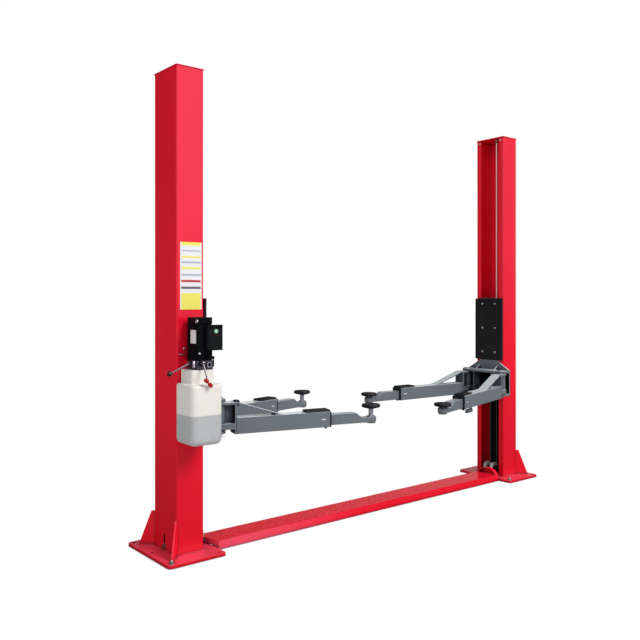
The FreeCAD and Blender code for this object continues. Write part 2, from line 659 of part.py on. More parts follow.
def release_pivot():
    front = MOTOR_Y - BLOCK_SIZE[1] / 2
    return MOTOR_X + RELEASE_SHIFT, front - LEVER_EYE_RADIUS - FORK_GAP, NECK_TOP + RELEASE_RISE


def pump_block():
    """Valve block under the motor, with a fork for each lever."""
    x = around(MOTOR_X, BLOCK_SIZE[0])
    y = around(MOTOR_Y, BLOCK_SIZE[1])
    pieces = [box(x, y, (NECK_TOP, MOTOR_BOTTOM))]
    near = LEVER_EYE_WIDTH / 2 + FORK_GAP
    for sign in (-1, 1):
        gap = sorted((sign * near, sign * (near + FORK_CHEEK)))
        px, py, pz = lowering_pivot()
        height = (pz - LEVER_EYE_RADIUS, pz + LEVER_EYE_RADIUS)
        pieces.append(box((px, x[0] + THROUGH), (py + gap[0], py + gap[1]), height))
        px, py, pz = release_pivot()
        height = (pz - LEVER_EYE_RADIUS, pz + LEVER_EYE_RADIUS)
        pieces.append(box((px + gap[0], px + gap[1]), (py, y[0] + THROUGH), height))
    pieces += fork(lowering_pivot(), Vector(0, 1, 0)) + fork(release_pivot(), Vector(1, 0, 0))
    return joined(pieces)


def motor():
    x = around(MOTOR_X, MOTOR_SIZE[0])
    return rounded_box(x, around(MOTOR_Y, MOTOR_SIZE[1]), (MOTOR_BOTTOM, MOTOR_TOP), MOTOR_CORNER)


def control_box():
    front = MOTOR_Y - MOTOR_SIZE[1] / 2
    top = MOTOR_TOP - CONTROL_DROP
    x = around(CONTROL_X, CONTROL_SIZE[0])
    return rounded_box(x, (front - CONTROL_SIZE[1], front), (top - CONTROL_SIZE[2], top), CONTROL_CORNER)


def pump_bracket():
    """Folded bracket that carries the power unit on the post's face."""
    block_y = MOTOR_Y + BLOCK_SIZE[1] / 2
    z = (NECK_TOP - BRACKET_DROP, MOTOR_BOTTOM)
    x = around(MOTOR_X, BRACKET_WIDTH)
    plate = box(x, (POST_FACE_Y - BRACKET_PLATE, POST_FACE_Y), z)
    sides = [box((edge, edge + BRACKET_PLATE), (block_y, POST_FACE_Y), (NECK_TOP, MOTOR_BOTTOM))
             for edge in (x[0] + BRACKET_PLATE, x[1] - 2 * BRACKET_PLATE)]
    return joined([plate] + sides)


def lever(pivot, across, reach):
    """A lever's eye and its bar, and the place where the bar ends."""
    at = Vector(*pivot)
    end = at + Vector(*reach)
    half = across * (LEVER_EYE_WIDTH / 2)
    eye = Part.makeCylinder(LEVER_EYE_RADIUS, LEVER_EYE_WIDTH, at - half, across)
    bar = Part.makeCylinder(LEVER_RADIUS, (end - at).Length, at, end - at)
    bore = Part.makeCylinder(LEVER_PIN_RADIUS + RUN_CLEARANCE, 2 * LEVER_EYE_WIDTH, at - half * 2, across)
    return joined([eye, bar]).cut(bore), end


def lever_grips(end):
    """Two round grips side by side on the release lever."""
    across = Vector(1, 0, -1)
    return joined([Part.makeCylinder(GRIP_RADIUS, GRIP_LENGTH, end, across * sign) for sign in (-1, 1)])


def main():
    os.makedirs("parts", exist_ok=True)
    post = column()
    plate = base_plate()
    gussets = [gusset(-1, post), gusset(1, post)]
    save("column_right", post)
    save("column_left", mirrored(post))
    save("column_caps", *both(column_cap()))
    save("base_plate_right", plate)
    save("base_plate_left", mirrored(plate))
    save("base_gussets", *(gussets + [mirrored(g) for g in gussets]))
    save("floor_cover", *floor_cover())
    save("sheave_hood", sheave_hood())
    sheaves = [sheave(y) for y in ROPE_Y]
    save("rope_sheaves", *(sheaves + [mirrored(s) for s in sheaves]))
    save("sheave_brackets", *both(sheave_bracket()))
    save("equalising_ropes", rope(ROPE_Y[0], 1), rope(ROPE_Y[1], -1))
    save("rope_anchors", rope_anchor(ROPE_Y[0], 1), rope_anchor(ROPE_Y[1], -1))
    save("lift_cylinders", *both(lift_cylinder()))

    tube, seat, plate_guard = carriage(), arm_seat(), guard()
    rod_pieces, blocks = lift_rod(), slide_blocks()
    pins = [arm_pin(-PIVOT_Y), arm_pin(PIVOT_Y)]
    for name, turn in (("right", lambda s: s), ("left", mirrored)):
        save("lift_rod_%s" % name, *[turn(s) for s in rod_pieces])
        save("carriage_%s" % name, turn(tube))
        save("slide_blocks_%s" % name, *[turn(s) for s in blocks])
        save("guard_%s" % name, turn(plate_guard))
        save("arm_seat_%s" % name, turn(seat))
        save("arm_pins_%s" % name, *[turn(s) for s in pins])

    for name, side, end, angle, tube_end, reach, rise in (
            ("left_front", -1, -1, LEFT_FRONT_ANGLE, LEFT_FRONT_TUBE, LEFT_FRONT_REACH, LEFT_PAD_RISE),
            ("left_rear", -1, 1, LEFT_REAR_ANGLE, LEFT_REAR_TUBE, LEFT_REAR_REACH, LEFT_PAD_RISE),
            ("right_front", 1, -1, RIGHT_FRONT_ANGLE, RIGHT_FRONT_TUBE, RIGHT_FRONT_REACH, RIGHT_PAD_RISE),
            ("right_rear", 1, 1, RIGHT_REAR_ANGLE, RIGHT_REAR_TUBE, RIGHT_REAR_REACH, RIGHT_PAD_RISE)):
        for kind, shape in (("outer_arm", outer_arm(tube_end)), ("arm_strip", arm_strip(tube_end)),
                            ("inner_arm", inner_arm(reach)), ("pad_screw", pad_screw(reach, rise)),
                            ("pad", pad(reach, rise))):
            save("%s_%s" % (kind, name), placed(shape, side, end, angle))

    save("oil_tank", oil_tank())
    save("pump_block", pump_block())
    save("motor", motor())
    save("control_box", control_box())
    save("pump_bracket", pump_bracket())
    bar, end = lever(lowering_pivot(), Vector(0, 1, 0), (LOWERING_REACH[0], 0, LOWERING_REACH[1]))
    knob = Part.makeSphere(KNOB_RADIUS, end)
    save("lowering_lever", bar.cut(knob))
    save("lever_knob", knob)
    bar, end = lever(release_pivot(), Vector(1, 0, 0), RELEASE_REACH)
    grips = lever_grips(end)
    save("release_lever", bar.cut(grips))
    save("lever_grips", grips)


main()
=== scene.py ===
# Two post car lift with a floor cover, dressed for its picture. Metres, +Z up.
# X runs from the post with the power unit to the other post.
import bmesh
import bpy
import json
import math
from mathutils import Matrix, Vector

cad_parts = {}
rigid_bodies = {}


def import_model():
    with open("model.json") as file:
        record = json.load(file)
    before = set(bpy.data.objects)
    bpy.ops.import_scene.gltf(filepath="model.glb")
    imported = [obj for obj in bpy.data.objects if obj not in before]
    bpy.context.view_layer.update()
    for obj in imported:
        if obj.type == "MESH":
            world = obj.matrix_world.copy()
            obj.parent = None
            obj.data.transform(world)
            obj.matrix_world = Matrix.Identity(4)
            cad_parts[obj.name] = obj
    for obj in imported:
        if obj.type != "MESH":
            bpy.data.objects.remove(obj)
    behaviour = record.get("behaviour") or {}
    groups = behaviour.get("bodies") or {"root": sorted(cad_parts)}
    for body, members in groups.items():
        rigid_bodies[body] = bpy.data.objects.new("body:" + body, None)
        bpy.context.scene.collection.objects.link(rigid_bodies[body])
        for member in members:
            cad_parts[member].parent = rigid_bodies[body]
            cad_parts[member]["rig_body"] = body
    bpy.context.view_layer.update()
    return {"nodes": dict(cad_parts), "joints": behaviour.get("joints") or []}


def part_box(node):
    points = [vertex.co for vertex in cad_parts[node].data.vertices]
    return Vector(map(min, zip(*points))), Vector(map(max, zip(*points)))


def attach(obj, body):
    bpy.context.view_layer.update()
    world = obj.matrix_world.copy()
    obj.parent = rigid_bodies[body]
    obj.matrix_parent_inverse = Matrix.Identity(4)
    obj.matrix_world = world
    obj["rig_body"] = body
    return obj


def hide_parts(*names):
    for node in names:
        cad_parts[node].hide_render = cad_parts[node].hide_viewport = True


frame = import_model()
scene = bpy.context.scene
scene.view_settings.view_transform = "Standard"


# The camera stands at eye height outside the left post and looks level along
# the lift. A small shift moves the picture down without leaning the posts.
camera = bpy.data.objects.new("camera", bpy.data.cameras.new("camera"))
scene.collection.objects.link(camera)
scene.camera = camera
camera.location = (-3.6441, -3.9517, 1.4835)
camera.rotation_euler = (math.radians(90), 0, math.radians(-39.18))
camera.data.lens = 42.0
camera.data.sensor_width = 36.0
camera.data.shift_y = -0.033
camera.data.clip_end = 60.0


# The studio is a white sweep. A dark screen off to the left keeps the posts'
# left faces deep red, a bank of light stands in front and the far skyline is
# bright. Two broad lamps and a pale floor do the rest.
class Value:
    """A number, colour or vector on a wire, which takes part in sums."""

    def __init__(self, recipe, socket):
        self.recipe = recipe
        self.socket = socket

    def __add__(self, other):
        return self.recipe.node("Math", {"operation": "ADD"}, {0: self, 1: other})

    def __sub__(self, other):
        return self.recipe.node("Math", {"operation": "SUBTRACT"}, {0: self, 1: other})

    def __rsub__(self, other):
        return self.recipe.node("Math", {"operation": "SUBTRACT"}, {0: other, 1: self})

    def __mul__(self, other):
        return self.recipe.node("Math", {"operation": "MULTIPLY"}, {0: self, 1: other})

    def __lt__(self, other):
        return self.recipe.node("Math", {"operation": "LESS_THAN"}, {0: self, 1: other})

    def __gt__(self, other):
        return self.recipe.node("Math", {"operation": "GREATER_THAN"}, {0: self, 1: other})

    __radd__ = __add__
    __rmul__ = __mul__


class Recipe:
    """The nodes of one finish, light or backdrop, added one at a time."""

    def __init__(self, tree):
        self.tree = tree

    def node(self, kind, settings=None, sockets=None, output=0):
        """A node with its settings, then the values and links of its sockets."""
        made = self.tree.nodes.new("ShaderNode" + kind)
        for name, value in (settings or {}).items():
            if name == "stops":
                for stop in value[2:]:
                    made.color_ramp.elements.new(stop[0])
                for element, stop in zip(made.color_ramp.elements, value):
                    element.position = stop[0]
                    element.color = (*stop[1], 1)
            elif name == "blending":
                made.color_ramp.interpolation = value
            else:
                setattr(made, name, value)
        for name, value in (sockets or {}).items():
            if isinstance(value, Value):
                self.tree.links.new(value.socket, made.inputs[name])
            else:
                made.inputs[name].default_value = value
        if made.outputs:
            return Value(self, made.outputs[output])

    def soft_step(self, value, start, end, low=0.0, high=1.0):
        """A smooth climb from low to high while a value goes from start to end."""
        return self.node("MapRange", {"interpolation_type": "SMOOTHSTEP"},
                         {0: value, 1: start, 2: end, 3: low, 4: high})

    def blend(self, share, first, second):
        """Two colours mixed by a share."""
        return self.node("Mix", {"data_type": "RGBA"}, {0: share, 6: first, 7: second}, 2)


world = bpy.data.worlds.new("studio")
scene.world = world
world.use_nodes = True
world.node_tree.nodes.clear()
studio = Recipe(world.node_tree)
light_path = studio.node("LightPath")
rays = {name: Value(studio, light_path.socket.node.outputs[name])
        for name in ("Is Camera Ray", "Is Glossy Ray", "Is Transmission Ray")}
towards = studio.node("SeparateXYZ", {}, {0: studio.node("TexCoord")})
side = {name: Value(studio, towards.socket.node.outputs[name]) for name in "XYZ"}
skyline = studio.soft_step(side["Z"], 0.08, 0.23, 1.6, 0.02)
screened = studio.soft_step(side["X"], 0.05, -0.3)
past_screen = studio.soft_step(side["X"], -0.65, -0.85, 0.03, 0.45)
front = studio.soft_step(side["Y"], -0.25, -0.55)
bank = studio.soft_step(side["Z"], -0.12, 0.12, 0.2, 2.3)
bank = bank * studio.soft_step(side["X"], 0.55, 0.78, 1.0, 0.3)
mirrored_light = (skyline * (1 - screened) + past_screen * screened) * (1 - front)
mirrored_light = mirrored_light + front * bank
seen = rays["Is Camera Ray"] + rays["Is Transmission Ray"]
ROOM_LIGHT = 0.34
strength = ROOM_LIGHT + (mirrored_light - ROOM_LIGHT) * rays["Is Glossy Ray"] + seen * (1 - ROOM_LIGHT)
tint = studio.blend(front * rays["Is Glossy Ray"], (1, 1, 1, 1), (0.80, 0.70, 1.0, 1))
backdrop = studio.node("Background", {}, {"Color": tint, "Strength": strength})
studio.node("OutputWorld", {}, {"Surface": backdrop})

for lamp_name, direction, energy, spread in (("key", (0.3, -0.68, 0.67), 2.1, 25),
                                             ("fill", (-0.8, -0.3, 0.5), 0.6, 40)):
    lamp = bpy.data.objects.new(lamp_name, bpy.data.lights.new(lamp_name, "SUN"))
    lamp.data.energy = energy
    lamp.data.angle = math.radians(spread)
    lamp.rotation_euler = Vector(direction).to_track_quat("Z", "Y").to_euler()
    lamp.visible_glossy = lamp_name == "key"
    scene.collection.objects.link(lamp)

floor_shape = bmesh.new()
bmesh.ops.create_grid(floor_shape, x_segments=1, y_segments=1, size=30)
floor_mesh = bpy.data.meshes.new("studio_floor")
floor_shape.to_mesh(floor_mesh)
floor_shape.free()
studio_floor = bpy.data.objects.new("studio_floor", floor_mesh)
FLOOR_GAP = 0.0006
studio_floor.location.z = -FLOOR_GAP
scene.collection.objects.link(studio_floor)
floor_finish = bpy.data.materials.new("white_floor")
floor_finish.use_nodes = True
floor_finish.node_tree.nodes.clear()
sweep = Recipe(floor_finish.node_tree)
chalk = sweep.node("TexNoise", {}, {"Vector": sweep.node("TexCoord", {}, {}, "Object"), "Scale": 3.0})
chalky = sweep.blend(chalk, (0.67, 0.67, 0.67, 1), (0.69, 0.69, 0.69, 1))
matt = sweep.node("BsdfDiffuse", {}, {"Color": chalky})
# The floor shows near black in reflections, a painted reflection. For the camera its white carries a painted
# shadow, from ambient occlusion along the parts' feet and faintly under the lift.
dark_in_reflections = sweep.node("BsdfDiffuse", {}, {"Color": (0.06, 0.06, 0.06, 1)})
close = sweep.node("AmbientOcclusion", {"samples": 8}, {"Distance": 0.02}, 1)
wide = sweep.node("AmbientOcclusion", {"samples": 8}, {"Distance": 0.5}, 1)
white_with_painted_shadow = sweep.soft_step(close, 0.5, 0.75, 0.15, 1.0) * sweep.soft_step(wide, 0.3, 0.9, 0.95, 1.0)
paper = sweep.node("Emission", {}, {"Color": (1, 1, 1, 1), "Strength": white_with_painted_shadow})
matt_or_dark_in_reflections = sweep.node("MixShader", {}, {0: sweep.node("LightPath", {}, {}, "Is Glossy Ray"), 1: matt, 2: dark_in_reflections})
shown = sweep.node("MixShader", {}, {0: sweep.node("LightPath", {}, {}, "Is Camera Ray"), 1: matt_or_dark_in_reflections, 2: paper})
sweep.node("OutputMaterial", {}, {"Surface": shown})
floor_mesh.materials.append(floor_finish)


# The posts are C sections rolled from 6 mm steel plate and finished in gloss
# red powder coat. Each opens towards the middle of the lift.
class Finish(Recipe):
    """The material of one coating, metal or plastic."""

    def __init__(self, name, constants):
        self.material = bpy.data.materials.new(name)
        self.material.use_nodes = True
        super().__init__(self.material.node_tree)
        self.shader = self.tree.nodes["Principled BSDF"]
        for socket, value in constants.items():
            self.shader.inputs[socket].default_value = value
        self.place = self.node("TexCoord", {}, {}, "Object")

    def feed(self, **sockets):
        """Joins values to the shader, whose socket names have spaces."""
        for name, value in sockets.items():
            self.tree.links.new(value.socket, self.shader.inputs[name.replace("_", " ")])

    def noise(self, scale, detail=2.0):
        return self.node("TexNoise", {}, {"Vector": self.place, "Scale": scale, "Detail": detail})

    def height(self, axis):
        """The place along X, Y or Z."""
        parts = self.node("SeparateXYZ", {}, {0: self.place})
        return Value(self, parts.socket.node.outputs[axis])

    def bumps(self, height, strength, distance):
        """Small ups and downs of the surface."""
        sockets = {"Height": height, "Strength": strength, "Distance": distance}
        self.feed(Normal=self.node("Bump", {}, sockets))


def powder_coat(name, light, dark, roughness, grain, shine=1.45, reach=0.012, dust=0.0, foot=0.0,
                trodden=0.0, highlight_colour=(0.70, 0.77, 0.79, 1)):
    """Powder coat: its tone drifts at random, with painted shade in creases and
    low down, a painted highlight on open tops facing up, and paler where shoes
    scuff its near end."""
    coat = Finish(name, {"IOR": shine})
    drift = coat.soft_step(coat.noise(1.7, 3.0), 0.3, 0.7)
    skin = coat.noise(grain, 3.0)
    open_air = coat.node("AmbientOcclusion", {"samples": 4}, {"Distance": reach}, 1)
    upward = coat.node("SeparateXYZ", {}, {0: coat.node("TexCoord", {}, {}, "Normal")}, "Z")
    facing_up = coat.soft_step(upward, 0.35, 0.9)
    # The dust setting is a painted highlight: open tops facing up are paled towards the highlight colour.
    painted_top_highlight = facing_up * coat.soft_step(open_air, 0.25, 0.5, 0.0, dust)
    scuffed = coat.soft_step(coat.height("X"), -0.1, -1.2, 0.0, trodden) * (1 - facing_up)
    # Ambient occlusion paints shade into creases, and foot paints shade low down near the floor.
    painted_crease_shade = tuple(part * 0.25 for part in dark[:3]) + (1,)
    clear = coat.soft_step(open_air, 0.4, 0.92)
    if foot:
        clear = clear * coat.soft_step(coat.height("Z"), 0.1, 0.9, 1.0 - foot, 1.0)
    shade = coat.blend(clear, painted_crease_shade, coat.blend(drift, light, dark))
    worn = coat.soft_step(coat.noise(9.0, 4.0), 0.3, 0.75, roughness, roughness + 0.015)
    coat.feed(Base_Color=coat.blend(painted_top_highlight + scuffed, shade, highlight_colour), Roughness=worn)
    coat.bumps(skin, 0.05, 0.0003)
    return coat.material


RED, DEEP_RED = (0.94, 0.006, 0.029, 1), (0.89, 0.005, 0.025, 1)
# The posts' foot setting paints shade on them low down, near the floor.
red_enamel = powder_coat("red_enamel", RED, DEEP_RED, 0.22, 260.0, foot=0.24)


def finished(shape, name, body, paint, corner=38, stands_for=()):
    """Makes a bmesh a named piece on a body, smooth but for its corners."""
    mesh = bpy.data.meshes.new(name)
    shape.to_mesh(mesh)
    shape.free()
    mesh.shade_smooth()
    mesh.set_sharp_from_angle(angle=math.radians(corner))
    mesh.materials.append(paint)
    piece = bpy.data.objects.new(name, mesh)
    scene.collection.objects.link(piece)
    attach(piece, body)
    if stands_for:
        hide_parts(*stands_for)
    return piece


def eased(node, paint, rim):
    """A solid with its sharp edges broken, as the press or a file leaves them."""
    shape = bmesh.new()
    shape.from_mesh(frame["nodes"][node].data)
    bmesh.ops.remove_doubles(shape, verts=shape.verts, dist=1e-5)
    bmesh.ops.dissolve_limit(shape, angle_limit=0.01, verts=shape.verts, edges=shape.edges)
    body = frame["nodes"][node]["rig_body"]
    piece = finished(shape, node + "_eased", body, paint, 32, (node,))
    edges = piece.modifiers.new("broken_edges", "BEVEL")
    edges.width = rim
    edges.segments = 2
    edges.limit_method = "ANGLE"
    edges.angle_limit = math.radians(32)
    edges.harden_normals = True


for end in ("left", "right"):
    eased("column_" + end, red_enamel, 0.0012)
eased("column_caps", red_enamel, 0.001)


# Base plates are 18 mm flame cut plate with anchor holes. Two gussets run out
# diagonally from the post's outer corners, and fillet welds join them to it.
def merged(shape):
    """Closes the seams of a made form and turns its faces outwards."""
    bmesh.ops.remove_doubles(shape, verts=shape.verts, dist=1e-6)
    bmesh.ops.recalc_face_normals(shape, faces=shape.faces)
    return shape


def added(shape, part, place=Matrix()):
    """Adds a finished form to a larger one at a place."""
    merged(part)
    bmesh.ops.transform(part, matrix=place, verts=part.verts)
    scrap = bpy.data.meshes.new("scrap")
    part.to_mesh(scrap)
    part.free()
    shape.from_mesh(scrap)
    bpy.data.meshes.remove(scrap)


def stood(at, direction):
    """The place and turn of a form made along Z that is to face a direction."""
    return Matrix.Translation(at) @ Vector(direction).to_track_quat("Z", "Y").to_matrix().to_4x4()


def bead(shape, start, end, radius):
    """Lays a rippled weld from one point to another."""
    run = Vector(end) - Vector(start)
    steps = max(4, round(run.length / (radius * 0.9)))
    part = bmesh.new()
    bmesh.ops.create_circle(part, cap_ends=True, segments=8, radius=radius * 0.6)
    top = part.faces[:]
    for step in range(steps):
        made = bmesh.ops.extrude_face_region(part, geom=top)["geom"]
        top = [item for item in made if isinstance(item, bmesh.types.BMFace)]
        corners = top[0].verts[:]
        bmesh.ops.translate(part, verts=corners, vec=(0, 0, run.length / steps))
        reach = radius * (0.6 if step == steps - 1 else 1.0 if step % 2 else 0.84)
        now = math.hypot(corners[0].co.x, corners[0].co.y)
        bmesh.ops.scale(part, verts=corners, vec=(reach / now, reach / now, 1))
    added(shape, part, stood(start, run))


# A pink painted highlight for the red plates' tops, standing for the bright room's reflection.
PINK_TOP_HIGHLIGHT = (0.80, 0.62, 0.98, 1)
base_enamel = powder_coat("base_enamel", RED, DEEP_RED, 0.25, 260.0, reach=0.03, dust=0.085, highlight_colour=PINK_TOP_HIGHLIGHT)
for end in ("left", "right"):
    eased("base_plate_" + end, base_enamel, 0.0022)
eased("base_gussets", base_enamel, 0.0016)

POST_OUT, POST_IN, POST_HALF, PLATE_TOP = 1.590, 1.413, 0.137, 0.018
GUSSET_HALF, GUSSET_ROOT, GUSSET_TOE, GUSSET_TOP = 0.0052, -0.0045, 0.094, 0.212
POST_WELD, GUSSET_WELD, WEB_WELD_HALF = 0.005, 0.0035, POST_HALF - 0.012
welds = bmesh.new()
for way in (-1, 1):
    web = way * POST_OUT
    for turn in (-1, 1):
        y = turn * POST_HALF
        bead(welds, (way * POST_IN, y, PLATE_TOP), (web, y, PLATE_TOP), POST_WELD)
        outwards = Vector((way, turn, 0)).normalized()
        for across in (-GUSSET_HALF, GUSSET_HALF):
            root = Vector((web, y, 0)) + outwards * GUSSET_ROOT
            root += across * outwards.cross((0, 0, 1))
            foot = root + Vector((0, 0, PLATE_TOP))
            bead(welds, foot + Vector((0, 0, 0.012)), root + Vector((0, 0, GUSSET_TOP)), GUSSET_WELD)
            bead(welds, foot + outwards * 0.008, foot + outwards * GUSSET_TOE, GUSSET_WELD)
    bead(welds, (web, -WEB_WELD_HALF, PLATE_TOP), (web, WEB_WELD_HALF, PLATE_TOP), POST_WELD)
finished(welds, "base_welds", "frame", red_enamel, 60)


# An anchor with its nut stands in each base plate's near corner, blackened by
# grease. The bolt and slot low on the web hold the cylinder's foot, and a
# painted button plugs the hole above them. The slot is a black patch on the
# web, painted shade in place of a hole.
def zinc_plate(name, light, dark, roughness):
    """Zinc plated or bare steel, clouded and finely brushed."""
    steel = Finish(name, {"Metallic": 1.0})
    cloud = steel.soft_step(steel.noise(60.0, 4.0), 0.3, 0.7)
    brushed = steel.soft_step(steel.noise(220.0, 3.0), 0.3, 0.7, roughness, roughness + 0.15)
    steel.feed(Base_Color=steel.blend(cloud, light, dark), Roughness=brushed)
    steel.bumps(steel.noise(700.0, 2.0), 0.1, 0.0002)
    return steel.material


zinc = zinc_plate("zinc_plate", (0.78, 0.77, 0.74, 1), (0.6, 0.6, 0.58, 1), 0.28)


def turned(outline, steps=28):
    """A turned form: an outline of (radius, height) spun about Z."""
    part = bmesh.new()
    corners = [part.verts.new((radius, 0, height)) for radius, height in outline]
    edges = [part.edges.new(pair) for pair in zip(corners, corners[1:])]
    bmesh.ops.spin(part, geom=corners + edges, cent=(0, 0, 0), axis=(0, 0, 1), angle=2 * math.pi,
                   steps=steps, use_merge=True)
    return merged(part)


def hexagon(across, height):
    """A hexagon head with its upper corners turned off."""
    part = bmesh.new()
    radius = across / 2 / math.cos(math.radians(30))
    bmesh.ops.create_cone(part, cap_ends=True, segments=6, radius1=radius, radius2=radius, depth=height)
    bmesh.ops.translate(part, verts=part.verts, vec=(0, 0, height / 2))
    rim = [edge for edge in part.edges if all(corner.co.z > height * 0.9 for corner in edge.verts)]
    bmesh.ops.bevel(part, geom=rim, offset=across * 0.07, affect="EDGES", segments=2, profile=0.5,
                    material=-1)
    return part


def bolt(shape, at, direction, across, washer):
    """A hexagon head on its washer."""
    place = stood(at, direction)
    thick = across * 0.12
    rim = washer / 2
    outline = [(0, -0.001), (rim, -0.001), (rim, thick * 0.7), (rim - thick * 0.3, thick), (0, thick)]
    added(shape, turned(outline), place)
    added(shape, hexagon(across, across * 0.6), place @ Matrix.Translation((0, 0, thick)))


greased = zinc_plate("greased_steel", (0.55, 0.53, 0.43, 1), (0.12, 0.12, 0.10, 1), 0.35)
ANCHOR_X, ANCHOR_Y = (-1.673, 1.364), -0.234
WASHER, NUT_ACROSS, NUT_HIGH, STUD_PITCH = 0.003, 0.022, 0.012, 0.002
stud = [(0, 0.014)]
for thread in range(4):
    stud += [(0.006, 0.014 + thread * STUD_PITCH), (0.0066, 0.015 + thread * STUD_PITCH)]
stud += [(0.0055, 0.0225), (0, 0.0225)]
anchors = bmesh.new()
for x in ANCHOR_X:
    foot = Matrix.Translation((x, ANCHOR_Y, PLATE_TOP))
    added(anchors, turned([(0, 0), (0.0165, 0), (0.0165, 0.002), (0.0155, WASHER), (0, WASHER)]), foot)
    added(anchors, hexagon(NUT_ACROSS, NUT_HIGH), foot @ Matrix.Translation((0, 0, WASHER)))
    added(anchors, turned(stud), foot)
finished(anchors, "floor_anchors", "frame", greased, 30)

FOOT_Y, FOOT_BOLT_HIGH, FOOT_SLOT_HIGH, SLOT_SIZE = 0.009, 0.038, 0.0835, (0.002, 0.016, 0.057)
BUTTON_Y, BUTTON_HIGH = -0.084, 0.236
fasteners = bmesh.new()
painted = bmesh.new()
button = [(0, -0.001), (0.011, -0.001), (0.011, 0.002), (0.0085, 0.0055), (0.004, 0.007), (0.004, 0.0045),
          (0, 0.0045)]
for way in (-1, 1):
    bolt(fasteners, (way * POST_OUT, FOOT_Y, FOOT_BOLT_HIGH), (way, 0, 0), across=0.019, washer=0.034)
    added(painted, turned(button), stood((way * POST_OUT, BUTTON_Y, BUTTON_HIGH), (way, 0, 0)))
finished(fasteners, "base_fasteners", "frame", greased, 30)
finished(painted, "painted_buttons", "frame", red_enamel, 30)

soot = powder_coat("black_enamel", (0.004, 0.0045, 0.0055, 1), (0.007, 0.0075, 0.009, 1), 0.4, 300.0,
                   shine=1.09)
slot_shade = bmesh.new()
for way in (-1, 1):
    part = bmesh.new()
    bmesh.ops.create_cube(part, size=1)
    bmesh.ops.scale(part, verts=part.verts, vec=SLOT_SIZE)
    upright = [edge for edge in part.edges if abs(edge.verts[0].co.x - edge.verts[1].co.x) > 0.001]
    bmesh.ops.bevel(part, geom=upright, offset=0.0078, affect="EDGES", segments=6, profile=0.5, material=-1)
    added(slot_shade, part, Matrix.Translation((way * (POST_OUT - 0.0004), FOOT_Y, FOOT_SLOT_HIGH)))
finished(slot_shade, "web_slot_shade", "frame", soot)


# The floor cover is a folded 3 mm steel channel over the ropes, with a short
# end piece at the left plate. An arched hood clears the sheaves at the right.
cover_enamel = powder_coat("cover_enamel", RED, DEEP_RED, 0.24, 260.0, reach=0.03, trodden=0.1, highlight_colour=PINK_TOP_HIGHLIGHT)
eased("floor_cover", cover_enamel, 0.0014)
eased("sheave_hood", cover_enamel, 0.001)


# Two steel wire ropes keep the carriages level. Each hangs from a socket under
# one cap, turns round a sheave at the foot of both posts and rises to the other
# carriage. The sheaves are turned steel between black brackets.
strand_steel = Finish("rope_steel", {"Metallic": 0.25})
# The rope's near white is a painted highlight that keeps it bright in the post's shade, and the rope turns
# near black below about 1 m.
lower_dark = strand_steel.soft_step(strand_steel.height("Z"), 1.1, 0.75)
painted_bright = strand_steel.blend(strand_steel.noise(90.0, 4.0), (0.95, 0.95, 0.95, 1), (0.86, 0.86, 0.86, 1))
bright_above_darker_below = strand_steel.blend(lower_dark, painted_bright, (0.05, 0.046, 0.042, 1))
drawn = strand_steel.soft_step(strand_steel.noise(140.0, 3.0), 0.3, 0.7, 0.36, 0.52)
strand_steel.feed(Base_Color=bright_above_darker_below, Roughness=drawn)
strand_steel.bumps(strand_steel.noise(700.0, 2.0), 0.1, 0.0002)
ROPE_OUT, SHEAVE_AT, SHEAVE_HIGH = 1.446, 1.406, 0.080
SOCKET_LOW, SOCKET_TOP, ROPE_LOW_END, LAY = 2.784, 2.8205, 0.685, 0.065
ROPES = ((-0.044, 1), (0.019, -1))


def wire_rope(y, way):
    """Six strands laid about a straight line, then bent round both sheaves."""
    shape = bmesh.new()
    bmesh.ops.create_circle(shape, cap_ends=False, segments=18, radius=0.005)
    for corner in shape.verts:
        strand = math.atan2(corner.co.y, corner.co.x) * 6
        corner.co *= 0.93 + 0.07 * math.cos(strand)
    bmesh.ops.translate(shape, verts=shape.verts, vec=(way * ROPE_OUT, y, SOCKET_LOW))
    ring = shape.edges[:]

    def laid(direction, length):
        nonlocal ring
        steps = round(length / 0.009)
        corners = list(dict.fromkeys(corner for edge in ring for corner in edge.verts))
        middle = sum((corner.co for corner in corners), Vector()) / len(corners)
        twist = -2 * math.pi * length / LAY
        made = bmesh.ops.spin(shape, geom=corners + ring, cent=middle, axis=direction, angle=twist,
                              dvec=Vector(direction) * (length / steps), steps=steps)
        ring = [item for item in made["geom_last"] if isinstance(item, bmesh.types.BMEdge)]

    def bent(centre_x, turn):
        nonlocal ring
        corners = list(dict.fromkeys(corner for edge in ring for corner in edge.verts))
        made = bmesh.ops.spin(shape, geom=corners + ring, cent=(centre_x, y, SHEAVE_HIGH),
                              axis=(0, 1, 0), angle=turn, steps=12)
        ring = [item for item in made["geom_last"] if isinstance(item, bmesh.types.BMEdge)]

    laid((0, 0, -1), SOCKET_LOW - SHEAVE_HIGH)
    bent(way * SHEAVE_AT, way * math.pi / 2)
    laid((-way, 0, 0), 2 * SHEAVE_AT)
    bent(-way * SHEAVE_AT, way * math.pi / 2)
    laid((0, 0, 1), ROPE_LOW_END - SHEAVE_HIGH)
    bmesh.ops.holes_fill(shape, edges=shape.edges, sides=18)
    return shape


ropes = bmesh.new()
for y, way in ROPES:
    added(ropes, wire_rope(y, way))
finished(ropes, "wire_ropes", "frame", strand_steel.material, 75, ("equalising_ropes",))

sockets = bmesh.new()
socket = [(0, SOCKET_LOW), (0.006, SOCKET_LOW), (0.0075, SOCKET_LOW + 0.002), (0.0075, 2.800),
          (0.009, 2.802), (0.009, SOCKET_TOP), (0, SOCKET_TOP)]
for y, way in ROPES:
    added(sockets, turned(socket), Matrix.Translation((way * ROPE_OUT, y, 0)))
finished(sockets, "rope_sockets", "frame", greased, 30, ("rope_anchors",))

